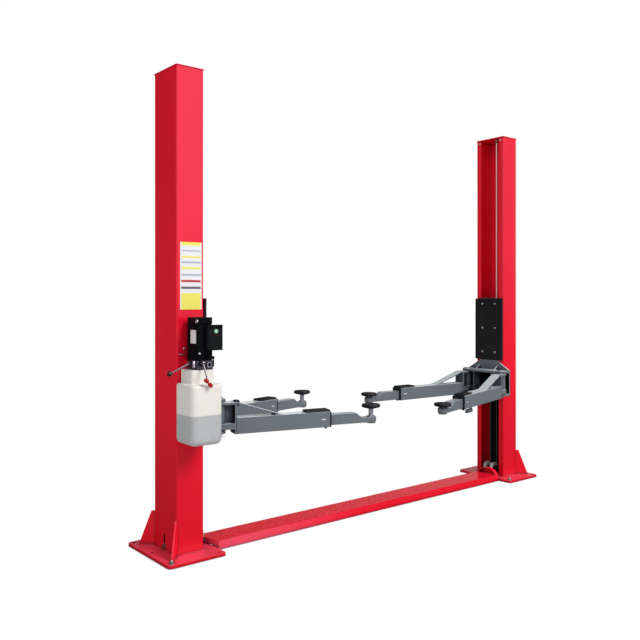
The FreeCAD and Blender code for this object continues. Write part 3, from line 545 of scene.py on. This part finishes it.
sheave_grey = Finish("sheave_steel", {"Metallic": 0.35})
turned_face = sheave_grey.blend(sheave_grey.noise(70.0, 3.0), (0.62, 0.64, 0.62, 1), (0.48, 0.50, 0.48, 1))
brushed = sheave_grey.soft_step(sheave_grey.noise(160.0), 0.3, 0.7, 0.4, 0.5)
sheave_grey.feed(Base_Color=turned_face, Roughness=brushed)
eased("rope_sheaves", sheave_grey.material, 0.001)
eased("sheave_brackets", soot, 0.0012)


# Each cap is held by two small plated bolts, one near the top of each lip of
# its post.
CAP_BOLT_Y, CAP_BOLT_HIGH = 0.107, 2.795
cap_bolts = bmesh.new()
for way in (-1, 1):
    for y in (-CAP_BOLT_Y, CAP_BOLT_Y):
        bolt(cap_bolts, (way * POST_IN, y, CAP_BOLT_HIGH), (-way, 0, 0), across=0.013, washer=0.02)
finished(cap_bolts, "cap_bolts", "frame", zinc, 30)


# Lifting cylinders are honed steel tube in black paint, with a screwed gland
# and a hose union at the foot. Their chromed rods end in a chain roller.
CYLINDER, BAND_BORE = (1.504, 0.015), 0.042
GLAND_RING, FOOT_RING, UNION_RING = (1.026, 1.034, 0.0475), (0.018, 0.034, 0.054), (0.090, 0.094, 0.0455)
eased("lift_cylinders", soot, 0.002)
bands = bmesh.new()
for way in (-1, 1):
    for low, high, reach in (GLAND_RING, FOOT_RING, UNION_RING):
        outline = [(BAND_BORE, low), (reach, low), (reach, high - 0.002), (reach - 0.002, high),
                   (BAND_BORE, high), (BAND_BORE, low)]
        added(bands, turned(outline, 40), Matrix.Translation((way * CYLINDER[0], CYLINDER[1], 0)))
finished(bands, "cylinder_bands", "frame", soot)
chrome = zinc_plate("rod_chrome", (0.82, 0.83, 0.84, 1), (0.74, 0.75, 0.76, 1), 0.1)
for end in ("left", "right"):
    eased("lift_rod_" + end, chrome, 0.001)


# Carriages are 8 mm box tubes in grey satin paint. They slide on black nylon
# blocks that run in the corners of the posts.
GREY, DEEP_GREY = (0.158, 0.190, 0.208, 1), (0.140, 0.170, 0.187, 1)
# Its dust setting paints a strong highlight on the grey tops.
grey_satin = powder_coat("grey_satin", GREY, DEEP_GREY, 0.3, 240.0, shine=1.5, reach=0.1, dust=0.95)
nylon = Finish("black_nylon", {"IOR": 1.16})
moulding = nylon.blend(nylon.noise(40.0, 4.0), (0.006, 0.008, 0.0075, 1), (0.011, 0.014, 0.013, 1))
rubbed = nylon.soft_step(nylon.noise(25.0), 0.3, 0.7, 0.42, 0.58)
nylon.feed(Base_Color=moulding, Roughness=rubbed)
nylon.bumps(nylon.noise(900.0, 3.0), 0.2, 0.0002)
for end in ("left", "right"):
    eased("carriage_" + end, grey_satin, 0.0015)
    eased("slide_blocks_" + end, nylon.material, 0.002)


# Door guards are moulded black rubber plates that six bolts hold to the
# carriage, so that a car door meets rubber and not steel.
def rubber_finish(name, light, dark, roughness):
    """Moulded rubber: matt, a little dusty, with a fine cast grain."""
    rubber = Finish(name, {"IOR": 1.5, "Specular IOR Level": 0.28})
    dust = rubber.soft_step(rubber.noise(14.0, 5.0), 0.45, 0.75)
    cast_grain = rubber.soft_step(rubber.noise(60.0, 3.0), 0.3, 0.7, roughness, roughness + 0.14)
    rubber.feed(Base_Color=rubber.blend(dust, light, dark), Roughness=cast_grain)
    rubber.bumps(rubber.noise(1100.0, 3.0), 0.25, 0.00025)
    return rubber.material


rubber = rubber_finish("black_rubber", (0.009, 0.0105, 0.0105, 1), (0.018, 0.02, 0.02, 1), 0.5)
GUARD_FACE, GUARD_BOLT_Y, GUARD_BOLTS_HIGH = 1.393, 0.064, (1.041, 1.240, 1.441)
dome = [(0, -0.001), (0.0105, -0.001), (0.0105, 0.0015), (0.0092, 0.004), (0.006, 0.0062), (0, 0.007)]
for end, way in (("left", -1), ("right", 1)):
    eased("guard_" + end, rubber, 0.004)
    screws = bmesh.new()
    for y in (-GUARD_BOLT_Y, GUARD_BOLT_Y):
        for z in GUARD_BOLTS_HIGH:
            added(screws, turned(dome), stood((way * GUARD_FACE, y, z), (-way, 0, 0)))
    finished(screws, "guard_bolts_" + end, "carriage_body_" + end, zinc, 30)


# Arm seats are welded from grey plate: a peaked back, two shelves and their
# webs. A plated pin with a head and a ring below carries each arm.
def boxed(low, high):
    """A plain box from its lowest corner to its highest."""
    part = bmesh.new()
    low, high = Vector(low), Vector(high)
    bmesh.ops.create_cube(part, size=1)
    bmesh.ops.scale(part, verts=part.verts, vec=high - low)
    bmesh.ops.translate(part, verts=part.verts, vec=(low + high) / 2)
    return part


def block(low, high, rim, segments=2):
    """A box with all its edges rounded."""
    part = boxed(low, high)
    bmesh.ops.bevel(part, geom=part.edges[:], offset=rim, affect="EDGES", segments=segments, profile=0.5,
                    material=-1)
    return part


def wire_ring(wire, reach, sides, steps):
    """A ring of round wire about Z."""
    part = bmesh.new()
    bmesh.ops.create_circle(part, segments=sides, radius=wire)
    bmesh.ops.rotate(part, verts=part.verts, cent=(0, 0, 0), matrix=Matrix.Rotation(math.pi / 2, 3, "X"))
    bmesh.ops.translate(part, verts=part.verts, vec=(reach, 0, 0))
    bmesh.ops.spin(part, geom=part.verts[:] + part.edges[:], cent=(0, 0, 0), axis=(0, 0, 1),
                   angle=2 * math.pi, steps=steps, use_merge=True)
    return part


PIVOT = (1.330, 0.172)
PIN, PIN_LOW, PIN_HEAD = 0.019, 0.682, 0.027
SEAT_TOP, SHELF_LOW_TOP, SHELF_HIGH, SEAT_HALF = 0.897, 0.712, 0.879, 0.2085
SEAT_FACE, PANEL_FACE, PANEL_BACK, WEB_Y, WEB_HALF = 1.3925, 1.3895, 1.3935, 0.092, 0.0055
pin = [(0, PIN_LOW), (0.017, PIN_LOW), (PIN, 0.684), (PIN, 0.6865), (0.0175, 0.687), (0.0175, 0.689),
       (PIN, 0.6895), (PIN, SEAT_TOP), (PIN_HEAD, SEAT_TOP), (PIN_HEAD, SEAT_TOP + 0.005),
       (0.025, SEAT_TOP + 0.007), (0, SEAT_TOP + 0.007)]
clip = [(0.0172, 0.6872), (0.024, 0.6872), (0.024, 0.6888), (0.0172, 0.6888), (0.0172, 0.6872)]
for end, way in (("left", -1), ("right", 1)):
    body = "carriage_body_" + end
    eased("arm_seat_" + end, grey_satin, 0.0024)
    pins = bmesh.new()
    for y in (-PIVOT[1], PIVOT[1]):
        added(pins, turned(pin, 36), Matrix.Translation((way * PIVOT[0], y, 0)))
        added(pins, turned(clip, 36), Matrix.Translation((way * PIVOT[0], y, 0)))
        hung = Matrix.Translation((way * (PIVOT[0] - 0.030), y, 0.681))
        hung = hung @ Matrix.Rotation(math.radians(80), 4, "X")
        added(pins, wire_ring(wire=0.0015, reach=0.013, sides=8, steps=24), hung)
    finished(pins, "arm_pins_turned_" + end, body, zinc, 30, ("arm_pins_" + end,))
    # Black panels between the shelves are painted shade inside the seat.
    shade_panels = bmesh.new()
    near, far = sorted((way * PANEL_FACE, way * PANEL_BACK))
    for low, high in ((-SEAT_HALF, -0.098), (-0.086, 0.086), (0.098, SEAT_HALF)):
        added(shade_panels, block((near, low, 0.7125), (far, high, 0.8785), 0.0005, 1))
    finished(shade_panels, "seat_panels_" + end, body, soot, 30)
    seams = bmesh.new()
    back = way * SEAT_FACE
    for z in (SHELF_LOW_TOP, SHELF_HIGH):
        bead(seams, (back, -0.196, z), (back, 0.196, z), 0.004)
    bead(seams, (back, -0.07, SEAT_TOP), (back, 0.07, SEAT_TOP), 0.004)
    for y in (-WEB_Y, WEB_Y):
        for edge in (-WEB_HALF, WEB_HALF):
            bead(seams, (way * 1.345, y + edge, SEAT_TOP), (way * 1.391, y + edge, SEAT_TOP), 0.003)
            bead(seams, (back, y + edge, SHELF_LOW_TOP), (back, y + edge, SHELF_HIGH), 0.003)
    finished(seams, "seat_welds_" + end, body, grey_satin, 60)


# Outer arms are box tubes with an end plate, two lugs about a hub and a flat
# brace. A rubber strip lies on the front end. Black blocks in the tube's mouth
# and black panels on the end plate are painted shade.
TUBE_LOW, TUBE_TOP, TUBE_HALF = 0.688, 0.783, 0.046
STRIP_TOP, STRIP_WIDE, GROOVE_PITCH = TUBE_TOP + 0.014, 0.074, 0.0152
SHADE_LINER_OUT, SHADE_LINER_IN, SHADE_LINER_LOW, SHADE_LINER_HIGH = 0.0466, 0.0345, 0.6874, 0.7836
CORNER_SEAM, HUB_SEAMS, PLATE_FACE = 0.097, (0.717, 0.729, 0.862, 0.8735), 0.0468
TUBE_ENDS = {"left_front": 0.705, "left_rear": 0.764, "right_front": 0.830, "right_rear": 0.790}
joints = {joint["name"]: joint for joint in frame["joints"]}


def arm_place(name):
    """The pivot and direction of an arm as a matrix, with X along the arm."""
    pivot = Vector(joints["swing_" + name]["pos_m"])
    along = Vector(joints["extend_" + name]["axis"])
    pivot.z = 0
    return Matrix.Translation(pivot) @ Matrix.Rotation(math.atan2(along.y, along.x), 4, "Z")


def pressed(outline, across, rim):
    """A side outline of (x, z) points pushed across the arm, its edges rounded."""
    part = bmesh.new()
    face = part.faces.new([part.verts.new((x, -across / 2, z)) for x, z in outline])
    made = bmesh.ops.extrude_face_region(part, geom=[face])["geom"]
    far = [item for item in made if isinstance(item, bmesh.types.BMVert)]
    bmesh.ops.translate(part, verts=far, vec=(0, across, 0))
    merged(part)
    sharp = [edge for edge in part.edges if edge.calc_face_angle(0) > math.radians(35)]
    bmesh.ops.bevel(part, geom=sharp, offset=rim, affect="EDGES", segments=2, profile=0.5, material=-1)
    return part


plate_white = Finish("blank_plate", {"IOR": 1.45})
fresh = plate_white.blend(plate_white.noise(30.0), (0.84, 0.86, 0.88, 1), (0.78, 0.80, 0.82, 1))
plate_gloss = plate_white.soft_step(plate_white.noise(90.0), 0.3, 0.7, 0.3, 0.45)
plate_white.feed(Base_Color=fresh, Roughness=plate_gloss)
for name, end in TUBE_ENDS.items():
    place = arm_place(name)
    body = "arm_" + name
    eased("outer_arm_" + name, grey_satin, 0.002)

    strip = [(end - 0.158, TUBE_TOP), (end - 0.158, STRIP_TOP - 0.005), (end - 0.152, STRIP_TOP)]
    for groove in range(9):
        start = end - 0.144 + groove * GROOVE_PITCH
        strip += [(start, STRIP_TOP), (start + 0.002, STRIP_TOP - 0.0025),
                  (start + 0.0035, STRIP_TOP - 0.0025), (start + 0.0055, STRIP_TOP)]
    strip += [(end - 0.006, STRIP_TOP), (end, STRIP_TOP - 0.005), (end, TUBE_TOP)]
    mat = bmesh.new()
    added(mat, pressed(strip, STRIP_WIDE, 0.0012), place)
    finished(mat, "rubber_strip_" + name, body, rubber, 30, ("arm_strip_" + name,))

    # Black blocks in the mouth paint the shade of the gap between the tubes.
    shade_liner = bmesh.new()
    for left, right, low, high in ((-SHADE_LINER_OUT, -SHADE_LINER_IN, SHADE_LINER_LOW, SHADE_LINER_HIGH),
                                   (SHADE_LINER_IN, SHADE_LINER_OUT, SHADE_LINER_LOW, SHADE_LINER_HIGH),
                                   (-SHADE_LINER_IN, SHADE_LINER_IN, 0.7625, SHADE_LINER_HIGH),
                                   (-SHADE_LINER_IN, SHADE_LINER_IN, SHADE_LINER_LOW, 0.6955)):
        added(shade_liner, block((end - 0.006, left, low), (end + 0.003, right, high), 0.0006, 1), place)
    finished(shade_liner, "mouth_liner_" + name, body, rubber, 30)

    seams = bmesh.new()
    for y in (-TUBE_HALF, TUBE_HALF):
        bead(seams, (CORNER_SEAM, y, TUBE_LOW + 0.002), (CORNER_SEAM, y, TUBE_TOP), 0.004)
    bead(seams, (CORNER_SEAM, -TUBE_HALF, TUBE_TOP), (CORNER_SEAM, TUBE_HALF, TUBE_TOP), 0.004)
    for y in (-0.035, 0.035):
        bead(seams, (0.340, y, TUBE_TOP + 0.001), (0.388, y, TUBE_TOP + 0.001), 0.003)
        bead(seams, (0.084, y * 1.3, 0.862), (0.084, y * 1.3, 0.874), 0.003)
    for z in HUB_SEAMS:
        bead(seams, (0.0835, -0.045, z), (0.0835, 0.045, z), 0.0028)
    # Black panels on the end plate between the lugs are painted shade.
    shade_panels = bmesh.new()
    for low, high in ((-0.044, -0.0065), (0.0065, 0.044)):
        added(shade_panels, block((0.0825, low, 0.752), (0.0845, high, 0.861), 0.0005, 1), place)
    finished(shade_panels, "hub_panels_" + name, body, soot, 30)
    arm_seams = bmesh.new()
    added(arm_seams, seams, place)
    finished(arm_seams, "arm_welds_" + name, body, grey_satin, 60)

    plates = bmesh.new()
    for way in (-1, 1):
        low = (end - 0.062, way * PLATE_FACE - 0.0006, 0.734)
        high = (end - 0.036, way * PLATE_FACE + 0.0006, 0.741)
        added(plates, block(low, high, 0.0005, 1), place)
    finished(plates, "arm_plates_" + name, body, plate_white.material, 30)

    stops = bmesh.new()
    out = 0.026 if name in ("left_rear", "right_front") else -0.026
    bolt(stops, place @ Vector((end - 0.026, out, TUBE_LOW)), (0, 0, -1), across=0.014, washer=0.022)
    finished(stops, "arm_stop_" + name, body, soot, 30)

# Under the near right arm hangs the stop of its slide, and a rubber bumper
# sits on the brace of the near left arm.
slide_stop = bmesh.new()
added(slide_stop, block((0.596, -0.011, 0.641), (0.688, 0.011, 0.666), 0.002), arm_place("right_front"))
added(slide_stop, block((0.600, -0.006, 0.663), (0.622, 0.006, 0.6885), 0.001), arm_place("right_front"))
finished(slide_stop, "slide_stop", "arm_right_front", grey_satin, 30)
bumper = bmesh.new()
added(bumper, block((0.090, -0.020, 0.850), (0.122, 0.020, 0.884), 0.005, 3), arm_place("left_front"))
finished(bumper, "brace_bumper", "arm_left_front", rubber, 30)


# Inner arms slide in the outer ones. Each ends in a sloped nose with a round
# sleeve, in which a steel screw carries a ribbed rubber pad.
# Its dust setting paints a weaker highlight on the inner arms' tops.
slide_satin = powder_coat("slide_satin", GREY, DEEP_GREY, 0.3, 240.0, shine=1.5, reach=0.1, dust=0.4)
PITCH, THREAD_IN, THREAD_OUT, SHANK = 0.004, 0.0136, 0.016, 0.0155
REACHES = {"left_front": 1.010, "left_rear": 1.083, "right_front": 1.100, "right_rear": 1.072}
for name, reach in REACHES.items():
    place = arm_place(name) @ Matrix.Translation((reach, 0, 0))
    pad_low, pad_high = (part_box("pad_" + name)[corner].z for corner in (0, 1))
    screw_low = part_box("pad_screw_" + name)[0].z
    eased("inner_arm_" + name, slide_satin, 0.002)

    screw = [(0, screw_low), (0.012, screw_low), (0.014, screw_low + 0.002)]
    turns = round((pad_low - screw_low - PITCH) / PITCH)
    for turn in range(turns):
        foot = screw_low + 0.002 + turn * PITCH
        screw += [(THREAD_IN, foot + 0.0006), (THREAD_OUT, foot + 0.0016), (THREAD_OUT, foot + 0.0024),
                  (THREAD_IN, foot + 0.0036)]
    screw += [(SHANK, pad_low), (SHANK, pad_low + 0.013), (0, pad_low + 0.013)]
    thread = bmesh.new()
    added(thread, turned(screw, 32), place)
    finished(thread, "threaded_screw_" + name, "screw_pad_" + name, zinc, 25,
             ("pad_screw_" + name,))

    cast = [(0.0162, pad_low), (0.026, pad_low), (0.034, pad_low + 0.0015), (0.053, pad_low + 0.007),
            (0.058, pad_low + 0.010), (0.060, pad_high - 0.0135), (0.060, pad_high - 0.0075),
            (0.0585, pad_high - 0.003), (0.0555, pad_high)]
    for ring in range(4):
        out = 0.049 - ring * 0.0095
        cast += [(out, pad_high), (out - 0.0012, pad_high - 0.0025), (out - 0.0033, pad_high - 0.0025),
                 (out - 0.0045, pad_high)]
    cast += [(0, pad_high), (0, pad_low + 0.0135), (0.0162, pad_low + 0.0135), cast[0]]
    cushion = bmesh.new()
    added(cushion, turned(cast, 48), place)
    finished(cushion, "ribbed_pad_" + name, "screw_pad_" + name, rubber, 30, ("pad_" + name,))


# The oil tank is blow moulded in milky plastic, and the oil shows through its
# lower half. Its neck is clamped under the pump's block.
tank_milk = Finish("milky_plastic", {"IOR": 1.45, "Subsurface Weight": 0.15,
                                     "Subsurface Radius": (0.01, 0.01, 0.01)})
ripple = tank_milk.noise(4.0, 1.0)
oil_line = tank_milk.soft_step(tank_milk.height("Z") + ripple * 0.006, 0.836, 0.844)
oil = tank_milk.blend(ripple, (0.50, 0.515, 0.525, 1), (0.53, 0.545, 0.55, 1))
empty = tank_milk.blend(ripple, (0.84, 0.82, 0.755, 1), (0.87, 0.85, 0.785, 1))
tank_skin = tank_milk.soft_step(tank_milk.noise(35.0, 3.0), 0.3, 0.7, 0.26, 0.4)
tank_milk.feed(Base_Color=tank_milk.blend(oil_line, oil, empty), Roughness=tank_skin)
tank_milk.bumps(tank_milk.noise(18.0, 2.0), 0.25, 0.002)


def moulded(low, high, upright_rim, rim, foot_rim):
    """A box with large upright corners and other rims round its top and foot."""
    part = boxed(low, high)
    upright = [edge for edge in part.edges if abs(edge.verts[0].co.z - edge.verts[1].co.z) > 1e-4]
    bmesh.ops.bevel(part, geom=upright, offset=upright_rim, affect="EDGES", segments=8, profile=0.5,
                    material=-1)
    for offset, height in ((rim, high[2]), (foot_rim, low[2])):
        ends = [edge for edge in part.edges if all(abs(corner.co.z - height) < 1e-5 for corner in edge.verts)]
        bmesh.ops.bevel(part, geom=ends, offset=offset, affect="EDGES", segments=6, profile=0.5, material=-1)
    return part


tank = bmesh.new()
added(tank, moulded((-1.611, -0.356, 0.668), (-1.411, -0.150, 1.008), 0.036, 0.016, 0.034))
added(tank, moulded((-1.573, -0.281, 0.985), (-1.427, -0.149, 1.084), 0.016, 0.006, 0.006))
finished(tank, "milky_tank", "frame", tank_milk.material, 50, ("oil_tank",))


# The pump's block is cast aluminium with plugs and the forks of two levers. A
# folded red bracket bolts it to the post, and the motor stands on it.
cast_metal = zinc_plate("cast_aluminium", (0.13, 0.13, 0.13, 1), (0.07, 0.07, 0.07, 1), 0.42)
eased("pump_block", cast_metal, 0.0015)
eased("pump_bracket", red_enamel, 0.0012)
BLOCK_FRONT, BLOCK_SIDE = -0.2805, -1.540
BIG_PLUG, SMALL_PLUG = (-1.464, 1.112), (-1.518, 1.120)
unions = bmesh.new()
ring_nut = [(0.0115, -0.001), (0.0155, -0.001), (0.0155, 0.0045), (0.0145, 0.0055), (0.0115, 0.0055),
            (0.0115, -0.001)]
added(unions, turned(ring_nut), stood((BIG_PLUG[0], BLOCK_FRONT - 0.004, BIG_PLUG[1]), (0, -1, 0)))
added(unions, turned([(0, -0.001), (0.004, -0.001), (0.004, 0.002), (0.003, 0.003), (0, 0.003)], 16),
      stood((SMALL_PLUG[0], BLOCK_FRONT - 0.008, SMALL_PLUG[1]), (0, -1, 0)))
relief = [(0, 1.0965), (0.007, 1.0965), (0.0105, 1.099), (0.0105, 1.112), (0.0085, 1.114), (0.0085, 1.130),
          (0.0065, 1.1345), (0, 1.1355)]
added(unions, turned(relief), Matrix.Translation((-1.549, -0.262, 0)))
bolt(unions, (BLOCK_SIDE, -0.192, 1.118), (-1, 0, 0), across=0.016, washer=0.022)
finished(unions, "pump_plugs", "frame", zinc, 30)
dark_plugs = bmesh.new()
for (x, z), wide, reach in ((BIG_PLUG, 0.0195, 0.6), (SMALL_PLUG, 0.0125, 0.85)):
    outline = [(0, -0.001), (wide, -0.001), (wide, 0.0085), (wide - 0.0015, 0.010), (0, 0.010)]
    added(dark_plugs, turned([(radius, height * reach) for radius, height in outline]),
          stood((x, BLOCK_FRONT, z), (0, -1, 0)))
added(dark_plugs, block((-1.437, -0.2865, 1.099), (-1.431, -0.2800, 1.153), 0.001, 1))
added(dark_plugs, block((-1.449, -0.2895, 1.143), (-1.431, -0.2840, 1.159), 0.001, 1))
finished(dark_plugs, "dark_plugs", "frame", soot, 30)
bracket_bolts = bmesh.new()
for x in (-1.536, -1.440):
    bolt(bracket_bolts, (x, -0.145, 1.028), (0, -1, 0), across=0.013, washer=0.02)
bolt(bracket_bolts, (-1.540, -0.137, 1.198), (0, -1, 0), across=0.011, washer=0.016)
clamp = [(0, 0), (0.003, 0), (0.0042, 0.002), (0.0042, 0.040), (0.003, 0.042), (0, 0.042)]
added(bracket_bolts, turned(clamp, 16), stood((-1.576, -0.140, 1.165), (1, 0, 0)))
finished(bracket_bolts, "bracket_bolts", "frame", zinc, 30)


# The motor is a black painted housing with a fan cover on top. A blank rating
# plate is riveted to its outer side, and a plated eye lifts it.
RIB_LOW, RIB_HIGH, RIB_HALF = 1.150, 1.330, 0.002
motor_body = bmesh.new()
added(motor_body, moulded((-1.538, -0.285, 1.136), (-1.438, -0.160, 1.338), 0.012, 0.003, 0.003))
added(motor_body, moulded((-1.5375, -0.2845, 1.341), (-1.4385, -0.1605, 1.379), 0.012, 0.005, 0.002))
added(motor_body, moulded((-1.534, -0.281, 1.330), (-1.442, -0.164, 1.350), 0.010, 0.002, 0.002))
for y in (-0.1895, -0.173):
    rib = block((-1.5395, y - RIB_HALF, RIB_LOW), (-1.537, y + RIB_HALF, RIB_HIGH), 0.0008, 1)
    added(motor_body, rib)
for x in (-1.526, -1.5135, -1.501, -1.4885, -1.476):
    rib = block((x - RIB_HALF, -0.1612, RIB_LOW), (x + RIB_HALF, -0.158, RIB_HIGH), 0.0008, 1)
    added(motor_body, rib)
finished(motor_body, "motor_housing", "frame", soot, 40, ("motor",))
rating = bmesh.new()
added(rating, block((-1.5395, -0.268, 1.232), (-1.5378, -0.208, 1.308), 0.0006, 1))
finished(rating, "blank_rating_plate", "frame", plate_white.material, 30)
eye = bmesh.new()
eye_place = Matrix.Translation((-1.5405, -0.279, 1.357)) @ Matrix.Rotation(math.radians(90), 4, "Y")
added(eye, wire_ring(wire=0.0035, reach=0.010, sides=12, steps=28), eye_place)
bolt(eye, (-1.527, -0.285, 1.176), (0, -1, 0), across=0.01, washer=0.014)
rivet = [(0, -0.001), (0.0022, -0.001), (0.0022, 0.0004), (0.0012, 0.0011), (0, 0.0013)]
for z in (1.236, 1.304):
    for y in (-0.264, -0.212):
        added(eye, turned(rivet, 12), stood((-1.5394, y, z), (-1, 0, 0)))
finished(eye, "motor_fittings", "frame", zinc, 30)


# The control box is moulded black plastic with a lid. A pale green start
# button stands in a dark green collar.
eased("control_box", nylon.material, 0.002)
LID_FACE = -0.3165
lid = bmesh.new()
added(lid, moulded((-1.4885, LID_FACE, 1.1955), (-1.3945, LID_FACE + 0.004, 1.3345), 0.005, 0.0012, 0.0012))
finished(lid, "control_lid", "frame", nylon.material)


def gloss_plastic(name, light, dark):
    """Glossy moulded plastic with a faint flow mark."""
    plastic = Finish(name, {"IOR": 1.5})
    plastic.feed(Base_Color=plastic.blend(plastic.noise(55.0, 3.0), light, dark),
                 Roughness=plastic.soft_step(plastic.noise(120.0), 0.3, 0.7, 0.18, 0.3))
    return plastic.material


dark_green = gloss_plastic("green_collar", (0.01, 0.09, 0.035, 1), (0.015, 0.12, 0.05, 1))
collar = bmesh.new()
knob_foot = stood((-1.440, LID_FACE, 1.301), (0, -1, 0))
outline = [(0, 0), (0.0155, 0), (0.0155, 0.004), (0.014, 0.006), (0.0115, 0.006), (0.0115, 0.001), (0, 0.001)]
added(collar, turned(outline), knob_foot)
finished(collar, "button_collar", "frame", dark_green, 30)
pale_green = gloss_plastic("green_button", (0.45, 0.72, 0.5, 1), (0.5, 0.76, 0.56, 1))
button = bmesh.new()
added(button, turned([(0, 0), (0.0112, 0), (0.0112, 0.0065), (0.009, 0.0085), (0, 0.0092)]), knob_foot)
finished(button, "start_button", "frame", pale_green, 30)


# Levers: a plated bar with a black ball for lowering, and another with two
# red grips that frees the locks. Each turns on a pin in its fork.
lever_steel = zinc_plate("lever_steel", (0.30, 0.30, 0.29, 1), (0.2, 0.2, 0.19, 1), 0.3)
for node in ("lowering_lever", "release_lever"):
    eased(node, lever_steel, 0.0006)
black_gloss = gloss_plastic("black_ball", (0.012, 0.012, 0.012, 1), (0.02, 0.02, 0.02, 1))
BALL = 0.01496
ball = bmesh.new()
turns = [math.radians(step * 15) for step in range(13)]
outline = [(max(BALL * math.sin(turn), 0), -BALL * math.cos(turn)) for turn in turns]
added(ball, turned(outline, 24), Matrix.Translation(sum(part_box("lever_knob"), Vector()) / 2))
finished(ball, "ball_knob", "lowering_handle", black_gloss, 60, ("lever_knob",))
red_gloss = gloss_plastic("red_grip", (0.42, 0.01, 0.016, 1), (0.5, 0.014, 0.02, 1))
grip_end = sum(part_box("lever_grips"), Vector()) / 2
grips = bmesh.new()
grip = [(0, 0.0002), (0.0045, 0.0002), (0.0045, 0.0055), (0.010, 0.006), (0.012, 0.0085), (0.0112, 0.012),
        (0.012, 0.015), (0.0112, 0.018), (0.012, 0.021), (0.0112, 0.024), (0.012, 0.0265), (0.010, 0.0295),
        (0, 0.030)]
for way in (-1, 1):
    added(grips, turned(grip, 24), stood(grip_end, Vector((1, 0, -1)) * way))
finished(grips, "red_grips", "release_handle", red_gloss, 60, ("lever_grips",))


# The label on the post's front face is white vinyl, printed with plain bands of
# colour and stuck on.
LABEL_LEFT, LABEL_RIGHT, LABEL_LOW, LABEL_HIGH, LABEL_FACE = -1.567, -1.426, 1.422, 1.811, -0.1375
SIDE_MARGIN, END_MARGIN = 0.007, 0.005
label = Finish("label_vinyl", {"IOR": 1.45, "Roughness": 0.3})
place_x, place_z = label.height("X"), label.height("Z")
white, yellow, slate = (0.90, 0.90, 0.92), (0.95, 0.88, 0.14), (0.46, 0.51, 0.58)
bands_up = label.node("ValToRGB", {"blending": "CONSTANT", "stops": (
    (0.0, yellow), (0.235, white), (0.30, (0.16, 0.12, 0.13)), (0.335, white), (0.40, (0.55, 0.05, 0.05)),
    (0.435, white), (0.50, slate), (0.525, white), (0.60, yellow), (0.63, white), (0.69, slate),
    (0.715, white), (0.77, yellow), (0.80, white), (0.87, slate), (0.89, white), (0.96, yellow))},
    {0: label.node("MapRange", {}, {0: place_z, 1: LABEL_LOW + END_MARGIN, 2: LABEL_HIGH - END_MARGIN})})
inside = (place_x > LABEL_LEFT + SIDE_MARGIN) * (place_x < LABEL_RIGHT - SIDE_MARGIN)
label.feed(Base_Color=label.blend(inside, (0.88, 0.88, 0.90, 1), bands_up))
sticker = bmesh.new()
added(sticker, block((LABEL_LEFT, LABEL_FACE, LABEL_LOW), (LABEL_RIGHT, LABEL_FACE + 0.001, LABEL_HIGH),
                     0.0004, 1))
finished(sticker, "post_label", "frame", label.material, 30)
